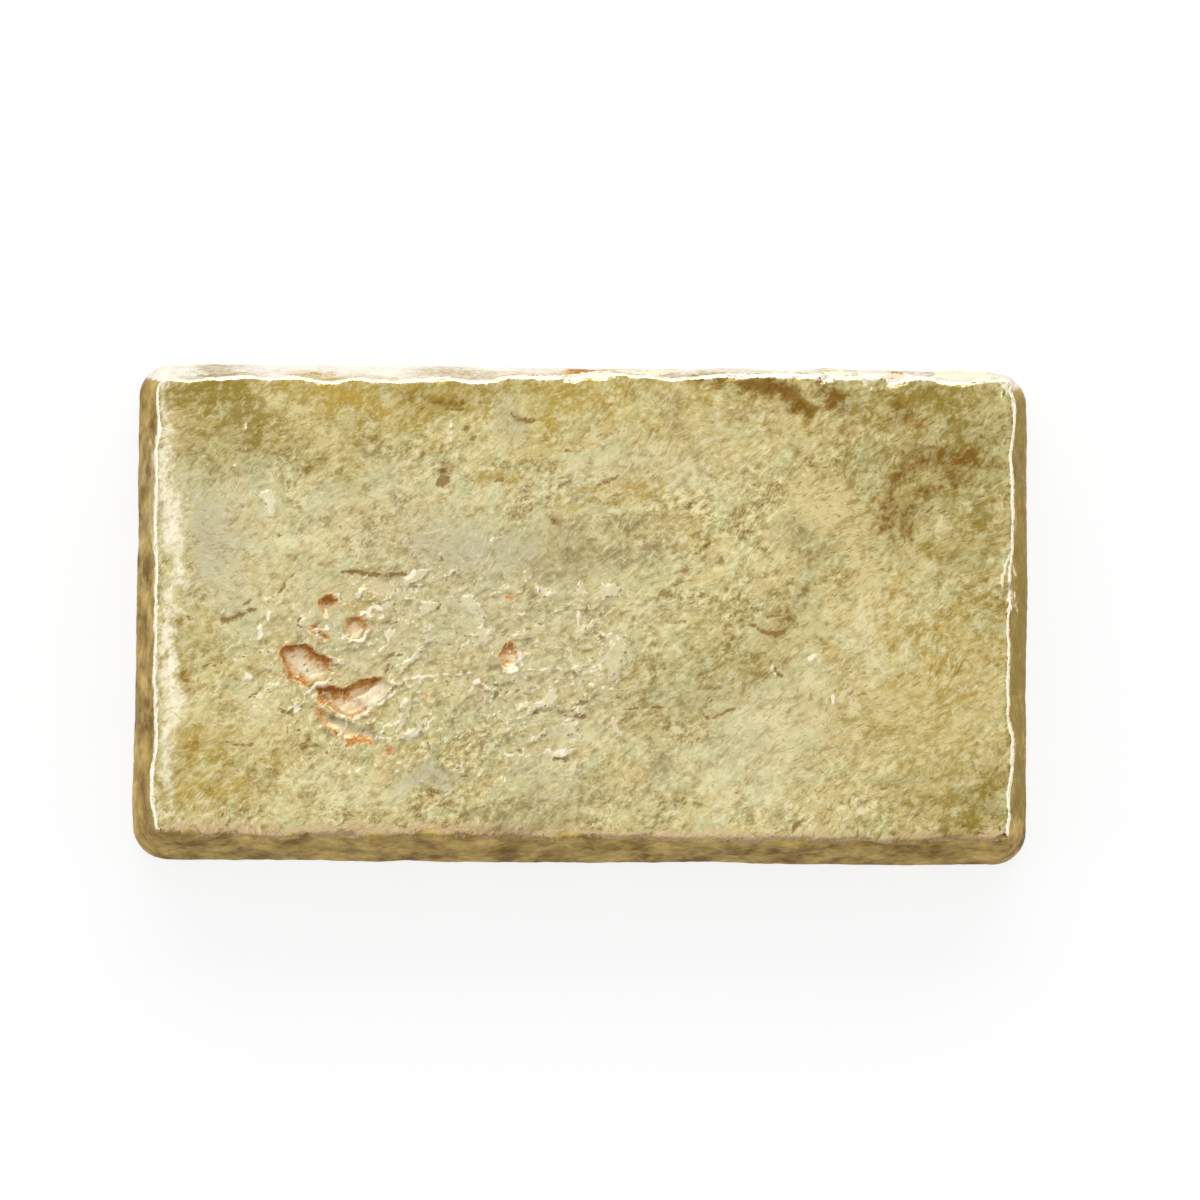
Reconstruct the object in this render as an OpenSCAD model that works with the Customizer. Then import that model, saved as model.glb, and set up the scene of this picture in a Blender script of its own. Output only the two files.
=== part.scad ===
// Hand-poured metal ingot: one solid casting from an open, tapered mould.
// It lies on its poured side, so the narrower face that lay on the mould's floor is up.
// Millimetres, +Z up, length along X, origin at the middle of the foot it rests on.

/* [Casting] */
// Length over the rounded rim
overall_length = 80; // [60:0.5:120]
// Width over the rounded rim
overall_width = 44.4; // [36:0.2:70]
// Thickness from the foot to the upper face
thickness = 9; // [6:0.5:20]
// Lean of the walls from upright, which lets the casting leave its mould
draft_angle = 12.5; // [3:0.5:18]
// Plan radius of the corners where the walls meet the upper face
face_corner_radius = 1.2; // [0.8:0.1:4]

/* [Edges] */
// Radius rolled along the edge of the upper face
face_edge_radius = 0.6; // [0.2:0.1:0.9]
// Radius of the meniscus along the rim of the poured side
rim_radius = 0.8; // [0.2:0.1:1.5]

/* [Shrink hollow] */
// Length of the hollow that cooling draws into the poured side
hollow_length = 62; // [32:1:64]
// Width of that hollow
hollow_width = 30; // [12:1:31]
// Depth of that hollow
hollow_depth = 0.4; // [0.1:0.1:1]

/* [Gas pits] */
// Distance of the pit field from the left end of the upper face
pit_field_from_end = 18; // [12:0.5:30]
// Distance of the pit field from the near side of the upper face
pit_field_from_side = 16; // [14:0.5:22]
// Share of the full depth to which the pits have opened
pit_opening = 1; // [0.5:0.05:1.3]

/* [Edge nicks] */
// Distance of the far edge's last nick from the right end of the upper face
far_nick_from_end = 5; // [4:0.5:20]
// Distance of the right edge's nick from the near side of the upper face
right_nick_from_side = 21.6; // [10:0.2:26]
// Share of the full depth to which the nicks have broken
nick_opening = 1; // [0.7:0.05:1.3]

/* [Hidden] */
$fn = 64;

// Distance from a sharp edge to where its round begins
rim_tangent = rim_radius / tan((90 - draft_angle) / 2);
face_tangent = face_edge_radius / tan((90 + draft_angle) / 2);
wall_direction = [-sin(draft_angle), cos(draft_angle)];

// The foot with a sharp rim, which the rim's round brings in to the overall size
rim_loss = rim_tangent - rim_radius;
foot_length = overall_length + 2 * rim_loss;
foot_width = overall_width + 2 * rim_loss;

// How far each wall leans in between the foot and the upper face
wall_inset = thickness * tan(draft_angle);
face_length = foot_length - 2 * wall_inset;
face_width = foot_width - 2 * wall_inset;

// Corner cones keep one upright axis, so the foot's corner is wider by the inset
foot_corner_radius = face_corner_radius + wall_inset;
corner_x = to_micron(foot_length / 2 - foot_corner_radius);
corner_y = to_micron(foot_width / 2 - foot_corner_radius);

// Middle of the pit field on the upper face
pit_field = [pit_field_from_end - face_length / 2, pit_field_from_side - face_width / 2, thickness];

// One scoop each: place in the pit field, radius of its mouth and depth
gas_pits = [
    [[-4.7, -0.8], 2.0, 0.70],
    [[-1.2, -4.0], 2.5, 0.80],
    [[1.9, -2.8], 1.7, 0.50],
    [[0.5, -7.0], 1.5, 0.40],
    [[-3.2, 3.8], 1.4, 0.60],
    [[-3.9, 2.0], 1.1, 0.45],
    [[-0.4, 2.5], 1.4, 0.50],
    [[1.9, 6.2], 1.9, 0.40],
    [[13.3, 0.1], 1.1, 0.60],
    [[11.3, -3.8], 1.0, 0.30]
];

// Corner of the upper face at its right end and far side, if its edges were sharp
face_corner = [face_length / 2, face_width / 2, thickness];

// Nicks in the far edge: distance from the last one, reach along the edge and depth
far_nicks = [
    [0, 2.4, 0.70],
    [5.9, 1.4, 0.80],
    [8.9, 0.9, 0.65],
    [11.6, 1.3, 0.65],
    [27.7, 2.2, 0.45],
    [33, 2.4, 0.60]
];

// Nick in the right edge: reach along the edge and depth
right_nick = [1.3, 0.80];

// Places where pieces of the casting meet, to a thousandth of a millimetre
function to_micron(size) = round(size * 1000) / 1000;

// Radius of the ball that cuts a cap of the given mouth and depth
function cap_radius(mouth, depth) = (mouth * mouth + depth * depth) / (2 * depth);

// Upright section of a wall with its rounded edges, from a corner's axis out to the foot
module wall_section() {
    foot_edge = [foot_corner_radius, 0];
    face_edge = [face_corner_radius, thickness];
    intersection() {
        square([foot_corner_radius, thickness]);
        union() {
            polygon([
                [0, 0],
                foot_edge - [rim_tangent, 0],
                foot_edge + rim_tangent * wall_direction,
                face_edge - face_tangent * wall_direction,
                face_edge - [face_tangent, 0],
                [0, thickness]
            ]);
            translate(foot_edge + [-rim_tangent, rim_radius]) circle(r = rim_radius);
            translate(face_edge + [-face_tangent, -face_edge_radius]) circle(r = face_edge_radius);
        }
    }
}

// A straight wall between two corners, facing +Y from the X axis
module wall_run(run) {
    rotate([90, 0, 90]) linear_extrude(height = run, center = true) wall_section();
}

// The block as the mould leaves it: a core, two pairs of walls and four corners
module cast_block() {
    translate([-corner_x, -corner_y, 0]) cube([2 * corner_x, 2 * corner_y, thickness]);
    for (side = [0, 1]) {
        mirror([0, side, 0]) translate([0, corner_y, 0]) wall_run(2 * corner_x);
        mirror([side, 0, 0]) translate([corner_x, 0, 0]) rotate([0, 0, -90]) wall_run(2 * corner_y);
    }
    for (end = [0, 1], side = [0, 1]) mirror([end, 0, 0]) mirror([0, side, 0])
        translate([corner_x, corner_y, 0]) rotate_extrude(angle = 90) wall_section();
}

// Half of the hollow's section, an arc that meets the foot at its rim
module hollow_section() {
    radius = cap_radius(hollow_width / 2, hollow_depth);
    intersection() {
        translate([0, hollow_depth - radius]) circle(r = radius, $fn = 256);
        translate([0, -hollow_depth]) square([hollow_width, 2 * hollow_depth]);
    }
}

// Shallow hollow with round ends in the poured side
module shrink_hollow() {
    straight = hollow_length - hollow_width;
    for (side = [0, 1]) mirror([0, side, 0])
        rotate([90, 0, 90]) linear_extrude(height = straight, center = true) hollow_section();
    for (end = [0, 1]) mirror([end, 0, 0])
        translate([straight / 2, 0, 0]) rotate([0, 0, -90]) rotate_extrude(angle = 180) hollow_section();
}

// A scoop left in the upper face by a gas bubble
module gas_pit(mouth, depth) {
    radius = cap_radius(mouth, depth);
    translate([0, 0, radius - depth]) sphere(r = radius);
}

// A scoop that a knock has broken out of an edge along the X axis, below a face that ends at +Y
module edge_nick(reach, depth) {
    radius = cap_radius(reach, depth);
    translate((radius - depth) * [0, sin(45), cos(45)]) sphere(r = radius);
}

// All nicks of the upper edge
module edge_nicks() {
    far_place = face_corner - [far_nick_from_end, 0, 0];
    right_place = face_corner - [0, face_width - right_nick_from_side, 0];
    for (nick = far_nicks)
        translate(far_place - [nick[0], 0, 0]) edge_nick(nick[1], nick[2] * nick_opening);
    translate(right_place) rotate([0, 0, -90]) edge_nick(right_nick[0], right_nick[1] * nick_opening);
}

module ingot() {
    color([0.78, 0.72, 0.50]) difference() {
        cast_block();
        shrink_hollow();
        translate(pit_field) for (pit = gas_pits)
            translate(pit[0]) gas_pit(pit[1], pit[2] * pit_opening);
        edge_nicks();
    }
}

ingot();
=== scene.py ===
"""A hand-poured metal ingot with its pits, chipped edges and tarnish, on a pale floor."""

import itertools
import logging
import math
from dataclasses import dataclass, field
from enum import Enum

import bpy
import numpy as np
from mathutils import Matrix, Vector


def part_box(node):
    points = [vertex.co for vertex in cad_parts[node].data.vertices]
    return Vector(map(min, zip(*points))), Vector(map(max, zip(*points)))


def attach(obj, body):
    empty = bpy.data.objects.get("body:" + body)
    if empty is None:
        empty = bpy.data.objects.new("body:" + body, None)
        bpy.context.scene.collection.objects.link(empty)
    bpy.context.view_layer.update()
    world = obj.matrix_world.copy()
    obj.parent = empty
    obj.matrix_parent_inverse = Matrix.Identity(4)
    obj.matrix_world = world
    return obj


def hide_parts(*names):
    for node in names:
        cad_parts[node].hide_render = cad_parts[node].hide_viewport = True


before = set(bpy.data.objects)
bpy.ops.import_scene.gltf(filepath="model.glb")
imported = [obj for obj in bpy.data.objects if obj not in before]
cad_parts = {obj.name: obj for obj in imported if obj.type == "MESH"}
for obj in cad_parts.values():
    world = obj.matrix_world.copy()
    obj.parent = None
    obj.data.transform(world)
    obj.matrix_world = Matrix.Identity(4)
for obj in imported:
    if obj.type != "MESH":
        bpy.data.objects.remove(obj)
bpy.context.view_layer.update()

Array = np.ndarray
Colour = tuple[float, float, float]
Point = tuple[float, float, float]
Spot = tuple[float, float]

log = logging.getLogger("ingot")
MM = 0.001

# Moves each layer of noise off the lattice of the last one, and brings their sum to about -1 to 1
LAYER_SHIFT = 17.3
NOISE_GAIN = 1.6

# Strength of each finer layer of a finish's noise, against the last one
FINER_SHARE = 0.58


def smooth_step(low: float, high: float, values: Array) -> Array:
    """Eases values from 0 at low to 1 at high.

    Args:
        low: Value that gives 0. It may be the larger one.
        high: Value that gives 1.
        values: What is eased.

    Returns:
        The eased shares, each from 0 to 1.
    """
    share = np.clip((values - low) / (high - low), 0.0, 1.0)
    return share * share * (3.0 - 2.0 * share)


def linear(hex_colour: str) -> Colour:
    """Turns a written colour into the linear light that a shader takes.

    Args:
        hex_colour: Six hexadecimal digits, red first.

    Returns:
        Red, green and blue from 0 to 1.
    """
    shares = [int(hex_colour[at : at + 2], 16) / 255 for at in (0, 2, 4)]
    return tuple(s / 12.92 if s <= 0.04045 else ((s + 0.055) / 1.055) ** 2.4 for s in shares)


@dataclass(frozen=True)
class Grain:
    """Smooth seeded noise over points in millimetres.

    Attributes:
        seed: Picks the pattern.
        lump: Size of the largest lumps along X, Y and Z.
        octaves: Layers, each half as large and half as strong as the last.
        turn: Degrees that the lumps are turned from X towards Y.
    """

    seed: int
    lump: Point
    octaves: int = 4
    turn: float = 0.0

    def at(self, points: Array) -> Array:
        """Reads the noise.

        Args:
            points: Places in millimetres, one row each.

        Returns:
            One value for each place, mostly between -1 and 1.
        """
        draw = np.random.default_rng(self.seed)
        order = draw.permutation(256)
        slopes = draw.normal(size=(256, 3))
        slopes /= np.linalg.norm(slopes, axis=1, keepdims=True)
        cosine, sine = math.cos(math.radians(self.turn)), math.sin(math.radians(self.turn))
        turned = points @ np.array([[cosine, -sine, 0.0], [sine, cosine, 0.0], [0.0, 0.0, 1.0]])
        total = np.zeros(len(points))
        for octave in range(self.octaves):
            fine = 2.0**octave
            total += self.layer(turned / self.lump * fine + LAYER_SHIFT * octave, order, slopes) / fine
        return total * NOISE_GAIN

    @staticmethod
    def layer(places: Array, order: Array, slopes: Array) -> Array:
        """Reads one layer of lattice noise.

        Args:
            places: Places in lattice steps.
            order: A shuffled list that spreads the lattice points.
            slopes: The slope that each lattice point may have.

        Returns:
            One value for each place.
        """
        cell = np.floor(places).astype(np.int64)
        part = places - cell
        ease = part**3 * (part * (part * 6.0 - 15.0) + 10.0)
        total = np.zeros(len(places))
        for corner in itertools.product((0, 1), repeat=3):
            knot = (cell + corner) & 255
            pick = order[(order[(order[knot[:, 0]] + knot[:, 1]) & 255] + knot[:, 2]) & 255]
            share = np.prod(np.where(corner, ease, 1.0 - ease), axis=1)
            total += share * np.einsum("ij,ij->i", part - corner, slopes[pick])
        return total


class Tone(Enum):
    """The colours that tarnish gives the face, and the white of a painted sheen by its left edge: mask,
    colour and whether it is paler than the face.
    """

    SAGE = ("sage", "d0c8a6", True)
    OLIVE = ("olive", "8b7932", False)
    GOLD = ("gold", "b79a42", False)
    BROWN = ("brown", "7a581c", False)
    GREY = ("grey", "9a8e63", False)
    SLATE = ("slate", "beb698", True)
    TAN = ("tan", "dac88e", True)
    CREAM = ("cream", "e6dcac", True)
    WHITE = ("white", "fbf1d2", True)
    ORANGE = ("orange", "a0712c", False)

    @property
    def mask(self) -> str:
        """Name of the vertex mask that holds this tone."""
        return f"tone_{self.value[0]}"

    @property
    def colour(self) -> Colour:
        """The tone as linear light."""
        return linear(self.value[1])

    @property
    def pale(self) -> bool:
        """Whether it is paler than the face."""
        return self.value[2]


class Line(Enum):
    """What a line on the face is, as the name of its mask."""

    CRACK = "crack"
    RUST = "rust"
    # Painted highlights along ridges, curled lips, bubble rings and the lit edges of flakes
    GLINT = "glint"

    @property
    def mask(self) -> str:
        """Name of the vertex mask that holds such lines."""
        return self.value


@dataclass(frozen=True)
class FaceMark:
    """An oval place on the upper face, in millimetres from the face's middle.

    Attributes:
        x: Place along the length.
        y: Place along the width.
        half_length: Half its longer way.
        half_width: Half its shorter way.
        turn: Degrees that the longer way is turned from X towards Y.
    """

    x: float
    y: float
    half_length: float
    half_width: float
    turn: float

    def local(self, plan: Array) -> Array:
        """Places in the mark's own turned axes, where its outline has radius 1.

        Args:
            plan: Places on the face.

        Returns:
            The same places, along and across the mark.
        """
        angle = math.radians(self.turn)
        away = plan - (self.x, self.y)
        along = away[:, 0] * math.cos(angle) + away[:, 1] * math.sin(angle)
        across = away[:, 1] * math.cos(angle) - away[:, 0] * math.sin(angle)
        return np.column_stack([along / self.half_length, across / self.half_width])

    def reach(self, plan: Array) -> Array:
        """Distance from the mark's middle, which is 1 on its outline."""
        return np.linalg.norm(self.local(plan), axis=1)


@dataclass(frozen=True)
class Stain(FaceMark):
    """A patch of tarnish.

    Attributes:
        strength: How much of its colour shows at its middle.
        soft: Share of its radius over which it fades.
    """

    strength: float
    soft: float = 0.9

    def veil(self, plan: Array) -> Array:
        """How much of the stain shows at each place."""
        return self.strength * smooth_step(1.0 + self.soft / 2, 1.0 - self.soft, self.reach(plan))


@dataclass(frozen=True)
class Bubble(FaceMark):
    """A small blister with a raised ring round it.

    Attributes:
        rim: Height of the ring.
        blur: Half width of the ring, as a share of its radius.
    """

    rim: float
    blur: float = 0.22

    def ring(self, plan: Array) -> Array:
        """How much of the ring lies at each place."""
        return np.exp(-(((self.reach(plan) - 1.0) / self.blur) ** 2))


@dataclass(frozen=True)
class Outlined:
    """A mark with an outline of its own.

    Attributes:
        outline: Corners in order round it, each as X, Y and a share from 0 to 1.
    """

    outline: tuple[Point, ...]

    def survey(self, plan: Array) -> tuple[Array, Array]:
        """Measures places against the outline.

        Args:
            plan: Places on the face.

        Returns:
            Distance to the outline, positive inside, and the share at its nearest point.
        """
        x, y = plan.T
        nearest = np.full(len(plan), np.inf)
        share = np.zeros(len(plan))
        inside = np.zeros(len(plan), dtype=bool)
        corners = np.array(self.outline)
        for start, end in zip(corners, np.roll(corners, -1, axis=0)):
            run = (end - start)[:2]
            along = np.clip((plan - start[:2]) @ run / (run @ run), 0.0, 1.0)
            away = np.linalg.norm(plan - start[:2] - along[:, None] * run, axis=1)
            share = np.where(away < nearest, start[2] + along * (end[2] - start[2]), share)
            nearest = np.minimum(nearest, away)
            left = (x - start[0]) * run[1] < (y - start[1]) * run[0]
            inside ^= ((start[1] > y) != (end[1] > y)) & (left == (run[1] > 0))
        return np.where(inside, nearest, -nearest), share


@dataclass(frozen=True)
class Flake(Outlined):
    """A scale of skin that stands above the rest, where the share is the strength of the painted highlight
    along its edge.

    Attributes:
        lift: Height above the face.
        pale: How much paler its skin is.
        line: Half width of the light and shade along its edge.
    """

    lift: float = 0.07
    pale: float = 0.6
    line: float = 0.26


@dataclass(frozen=True)
class GasPit(Outlined):
    """A broken gas bubble, where the share is the steepness of its wall.

    Attributes:
        depth: Depth of its floor.
        rust: How much rust is left on its steep walls.
        lip: Height of the skin that curls up along its shelving sides.
        shelf: Width of its wall where it shelves.
        cliff: Width of its wall where it is steepest.
        inner: How far in from the outline the rust reaches.
        outer: How far out from the outline the rust reaches.
    """

    depth: float = 0.5
    rust: float = 1.0
    lip: float = 0.07
    shelf: float = 0.95
    cliff: float = 0.30
    inner: float = 1.4
    outer: float = 0.20


@dataclass(frozen=True)
class EdgeChip(Outlined):
    """A bite out of the face's edge, where the share is how coppery it is.

    Attributes:
        drop: How far it goes down.
        rubbed: How bright it is where it isn't coppery.
    """

    drop: float
    rubbed: float = 1.0


@dataclass(frozen=True)
class Stroke:
    """A line through a few points of the face, thinner towards its ends.

    Attributes:
        path: Its points in millimetres.
        width: How far to each side it reaches.
        strength: How clearly it shows.
    """

    path: tuple[Spot, ...]
    width: float = 0.30
    strength: float = 0.8

    def cover(self, plan: Array) -> Array:
        """How near the line each place is.

        Args:
            plan: Places on the face.

        Returns:
            1 on the line, less beside it and 0 from a width away.
        """
        spots = np.array(self.path)
        runs = np.diff(spots, axis=0)
        lengths = np.linalg.norm(runs, axis=1)
        cover = np.zeros(len(plan))
        passed = 0.0
        for start, run, length in zip(spots, runs, lengths):
            share = np.clip((plan - start) @ run / length**2, 0.0, 1.0)
            away = np.linalg.norm(plan - start - share[:, None] * run, axis=1)
            along = (passed + share * length) / lengths.sum()
            taper = 0.45 + 0.55 * np.sqrt(np.clip(4.0 * along * (1.0 - along), 0.0, 1.0))
            cover = np.maximum(cover, 1.0 - away / (self.width * taper))
            passed += length
        return cover

    def veil(self, plan: Array) -> Array:
        """How much of the line shows at each place, as a soft smear."""
        return self.strength * smooth_step(0.0, 1.0, self.cover(plan))


@dataclass(frozen=True)
class Crease(Stroke):
    """A crack, ridge or scratch.

    Attributes:
        depth: Depth below the face, or height above it where negative.
    """

    depth: float = 0.04


GAS_PITS = [
    GasPit((
        (-27.0, -4.1, 0.8), (-26.5, -3.5, 1.0), (-25.6, -3.2, 1.0), (-24.8, -3.2, 1.0), (-24.2, -3.6, 1.0),
        (-23.8, -4.2, 1.0), (-22.7, -4.7, 0.8), (-21.8, -5.0, 0.2), (-22.1, -5.7, 0.0), (-23.0, -6.4, 0.0),
        (-24.0, -6.8, 0.1), (-24.7, -7.2, 0.5), (-25.4, -6.7, 0.9), (-26.2, -6.1, 0.9), (-26.7, -5.2, 0.8),
    ), 0.75),
    GasPit((
        (-23.8, -7.2, 1.0), (-22.3, -7.2, 1.0), (-21.0, -7.1, 1.0), (-20.3, -6.8, 1.0), (-19.6, -6.4, 1.0),
        (-18.8, -6.1, 1.0), (-17.9, -6.0, 0.7), (-16.4, -7.2, 0.2), (-17.2, -7.8, 0.0), (-18.3, -8.7, 0.1),
        (-19.4, -9.4, 0.4), (-20.4, -9.9, 0.5), (-21.2, -9.9, 0.3), (-22.7, -8.9, 0.4), (-23.5, -8.2, 0.7),
    ), 0.80),
    GasPit((
        (-23.7, -8.9, 0.9), (-22.3, -9.5, 0.1), (-20.5, -10.2, 0.0), (-18.6, -10.5, 0.0),
        (-18.1, -11.2, 0.2), (-18.8, -11.9, 0.6), (-20.1, -11.9, 0.7), (-21.2, -11.7, 0.6),
        (-22.1, -11.1, 0.3), (-23.6, -9.8, 0.7),
    ), 0.35, rust=0.8),
    GasPit((
        (-23.6, 0.7, 0.8), (-23.3, 1.1, 1.0), (-22.6, 1.1, 1.0), (-22.0, 0.6, 0.7), (-22.2, -0.4, 0.0),
        (-22.7, -0.9, 0.2), (-23.4, -1.1, 0.8), (-24.1, -1.6, 0.9), (-24.7, -1.9, 0.6), (-24.0, -2.2, 0.1),
        (-23.4, -1.9, 0.0), (-23.3, -1.1, 0.3), (-23.5, -0.1, 0.6),
    ), 0.55),
    GasPit((
        (-24.3, -2.3, 0.9), (-23.4, -2.2, 1.0), (-22.7, -2.7, 0.9), (-22.7, -3.2, 0.3), (-23.6, -2.8, 0.2),
    ), 0.35),
    GasPit((
        (-21.2, -0.9, 1.0), (-20.4, -0.9, 1.0), (-19.7, -1.3, 1.0), (-19.0, -1.8, 0.7), (-19.5, -2.5, 0.0),
        (-20.2, -3.0, 0.0), (-21.0, -2.9, 0.1), (-21.3, -2.0, 0.5),
    ), 0.50, rust=0.8),
    GasPit((
        (-21.8, 3.0, 0.5), (-20.4, 2.9, 0.7), (-19.1, 3.1, 0.8), (-17.9, 2.8, 0.8), (-15.9, 3.1, 0.5),
        (-16.5, 2.0, 0.0), (-17.4, 1.0, 0.0), (-18.8, 0.7, 0.0), (-20.2, 1.3, 0.0), (-21.1, 2.2, 0.0),
    ), 0.15, rust=0.15, lip=0.02),
    GasPit((
        (-7.6, -4.0, 0.8), (-7.2, -3.4, 1.0), (-6.7, -2.9, 1.0), (-6.1, -3.2, 1.0), (-5.8, -4.0, 0.6),
        (-5.7, -4.8, 0.2), (-5.9, -5.4, 0.1), (-6.8, -5.5, 0.3), (-7.4, -5.3, 0.9), (-7.6, -4.6, 0.9),
    ), 0.45, rust=0.8),
    GasPit((
        (-9.9, -6.8, 0.2), (-9.2, -6.8, 0.6), (-8.6, -7.2, 0.4), (-8.2, -7.6, 0.1), (-8.4, -8.7, 0.0),
        (-8.9, -9.7, 0.0), (-9.3, -8.9, 0.2), (-9.6, -7.8, 0.3),
    ), 0.25, rust=0.7),
    GasPit((
        (-0.6, 0.3, 0.3), (-0.1, 0.6, 0.2), (0.1, 0.1, 0.3), (0.2, -0.8, 0.4), (0.3, -1.7, 0.0),
        (-0.1, -2.0, 0.0), (-0.8, -1.8, 0.1), (-0.7, -1.0, 0.4),
    ), 0.20, rust=0.6, lip=0.04),
    GasPit(((-14.4, -7.5, 0.8), (-14.0, -7.5, 0.8), (-14.0, -8.0, 0.5), (-14.4, -8.0, 0.5)), 0.20, rust=0.6),
    GasPit(((-7.0, 1.2, 0.9), (-6.6, 1.2, 0.9), (-6.5, 0.8, 0.6), (-7.1, 0.8, 0.6)), 0.25, rust=0.9),
]

BUBBLES = [
    Bubble(-19.5, 2.4, 0.38, 0.36, 0, 0.10),
    Bubble(-19.6, 1.1, 0.80, 0.45, 0, 0.10),
    Bubble(-8.9, 8.4, 0.35, 0.30, 0, 0.04),
]

FLAKES = [
    # Striped slab that bridges the largest pit
    Flake((
        (-20.3, -8.0, 0.0), (-19.2, -7.2, 0.0), (-17.8, -6.3, 0.2), (-16.7, -7.0, 0.6), (-17.4, -7.6, 0.8),
        (-18.6, -8.6, 0.6), (-19.5, -8.9, 0.3),
    ), 0.45, 0.8),
    # Scales right of the pits, from the far ones to the near ones
    Flake(((-13.6, 3.4, 0.7), (-14.4, 2.7, 0.3), (-15.9, 1.7, 0.7), (-16.1, 2.4, 0.4), (-15.1, 3.3, 0.5))),
    Flake((
        (1.3, 2.2, 0.6), (1.9, 2.2, 0.4), (2.3, 2.4, 0.4), (3.0, 2.1, 0.2), (2.9, 1.1, 0.5), (2.1, 1.1, 0.3),
        (1.5, 0.8, 0.7),
    ), pale=0.8),
    Flake((
        (-0.7, 2.4, 0.6), (-0.3, 2.6, 0.3), (0.3, 1.4, 0.4), (-0.2, 1.1, 0.3), (-0.6, 1.4, 0.5),
    ), pale=0.8),
    Flake((
        (-4.3, 2.2, 0.5), (-3.5, 1.5, 0.4), (-2.4, 1.4, 0.6), (-3.3, 1.0, 0.3), (-4.0, 1.1, 0.3),
    ), pale=0.7),
    Flake((
        (-11.1, 1.1, 0.2), (-10.1, 1.2, 0.5), (-9.5, 0.3, 1.0), (-8.9, -0.6, 1.0), (-9.1, -1.2, 0.6),
        (-10.5, -0.4, 0.1), (-11.3, 0.4, 0.0),
    )),
    Flake(((-14.9, -0.4, 0.6), (-14.4, 0.4, 0.3), (-12.9, 0.7, 0.2), (-13.0, 0.1, 0.4), (-14.6, -0.8, 0.4))),
    Flake(((-14.6, -1.1, 0.4), (-14.2, -1.0, 0.3), (-13.9, -3.1, 0.4), (-14.4, -3.3, 0.3))),
    Flake(((-9.8, -1.7, 0.5), (-9.1, -1.7, 0.4), (-8.4, -2.7, 0.6), (-9.0, -3.2, 0.3), (-9.4, -3.0, 0.2))),
    Flake(((-18.0, -1.9, 0.5), (-16.9, -1.8, 0.5), (-17.0, -2.6, 0.4), (-17.4, -3.3, 0.5)), pale=1.0),
    Flake((
        (-1.7, -3.2, 0.6), (-1.3, -3.5, 0.4), (-0.8, -4.8, 0.3), (0.0, -6.3, 0.4), (-0.3, -6.4, 0.3),
        (-1.4, -4.9, 0.4),
    )),
    Flake((
        (2.0, -2.2, 0.1), (3.3, -2.2, 0.2), (3.5, -3.5, 0.2), (3.1, -4.9, 0.2), (3.0, -6.4, 0.1),
        (2.3, -6.4, 0.2), (1.6, -4.0, 0.2),
    ), pale=0.5),
    Flake((
        (-16.7, -5.2, 0.3), (-15.8, -4.7, 0.4), (-14.0, -3.4, 0.6), (-15.4, -5.0, 0.3), (-16.5, -5.9, 0.4),
    )),
    Flake(((-3.7, -7.3, 0.3), (-2.4, -7.2, 0.3), (-2.7, -8.9, 0.5), (-3.7, -8.9, 0.3)), pale=0.8),
    Flake((
        (-1.8, -9.9, 0.6), (-1.0, -9.6, 0.4), (-0.7, -10.2, 0.4), (-0.8, -11.1, 0.4), (-1.6, -11.1, 0.4),
    )),
    Flake(((2.3, -9.8, 0.6), (2.7, -9.5, 0.3), (3.2, -11.2, 0.6), (2.7, -11.1, 0.4))),
    Flake((
        (-4.8, -11.4, 0.4), (-4.1, -10.9, 0.4), (-3.0, -10.0, 0.5), (-3.7, -11.2, 0.3), (-4.5, -11.9, 0.3),
    )),
    Flake((
        (-3.9, -12.6, 0.7), (-3.2, -12.5, 0.7), (-2.7, -12.9, 0.9), (-0.7, -12.1, 0.5), (-1.5, -13.0, 0.4),
        (-2.8, -13.3, 0.7),
    ), pale=0.8),
    Flake((
        (-16.3, -11.2, 0.4), (-14.9, -10.5, 0.2), (-13.6, -9.3, 0.6), (-14.0, -10.3, 0.8),
        (-15.2, -11.5, 0.8),
    )),
    Flake((
        (-16.5, -9.3, 0.7), (-15.8, -8.0, 0.5), (-15.3, -8.6, 0.3), (-15.9, -10.2, 0.5), (-16.5, -11.2, 0.6),
    )),
    # Rubbed column on the left and the facet on the far left corner
    Flake(((-28.7, 10.2, 0.7), (-27.8, 10.2, 0.6), (-27.6, 8.0, 0.4), (-28.3, 7.8, 0.3)), pale=0.9),
    Flake((
        (-38.0, 20.3, 1.0), (-37.1, 20.7, 0.9), (-36.8, 20.4, 0.8), (-37.1, 19.7, 0.9), (-37.7, 19.2, 1.0),
    ), 0.0, 0.1),
]

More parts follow.
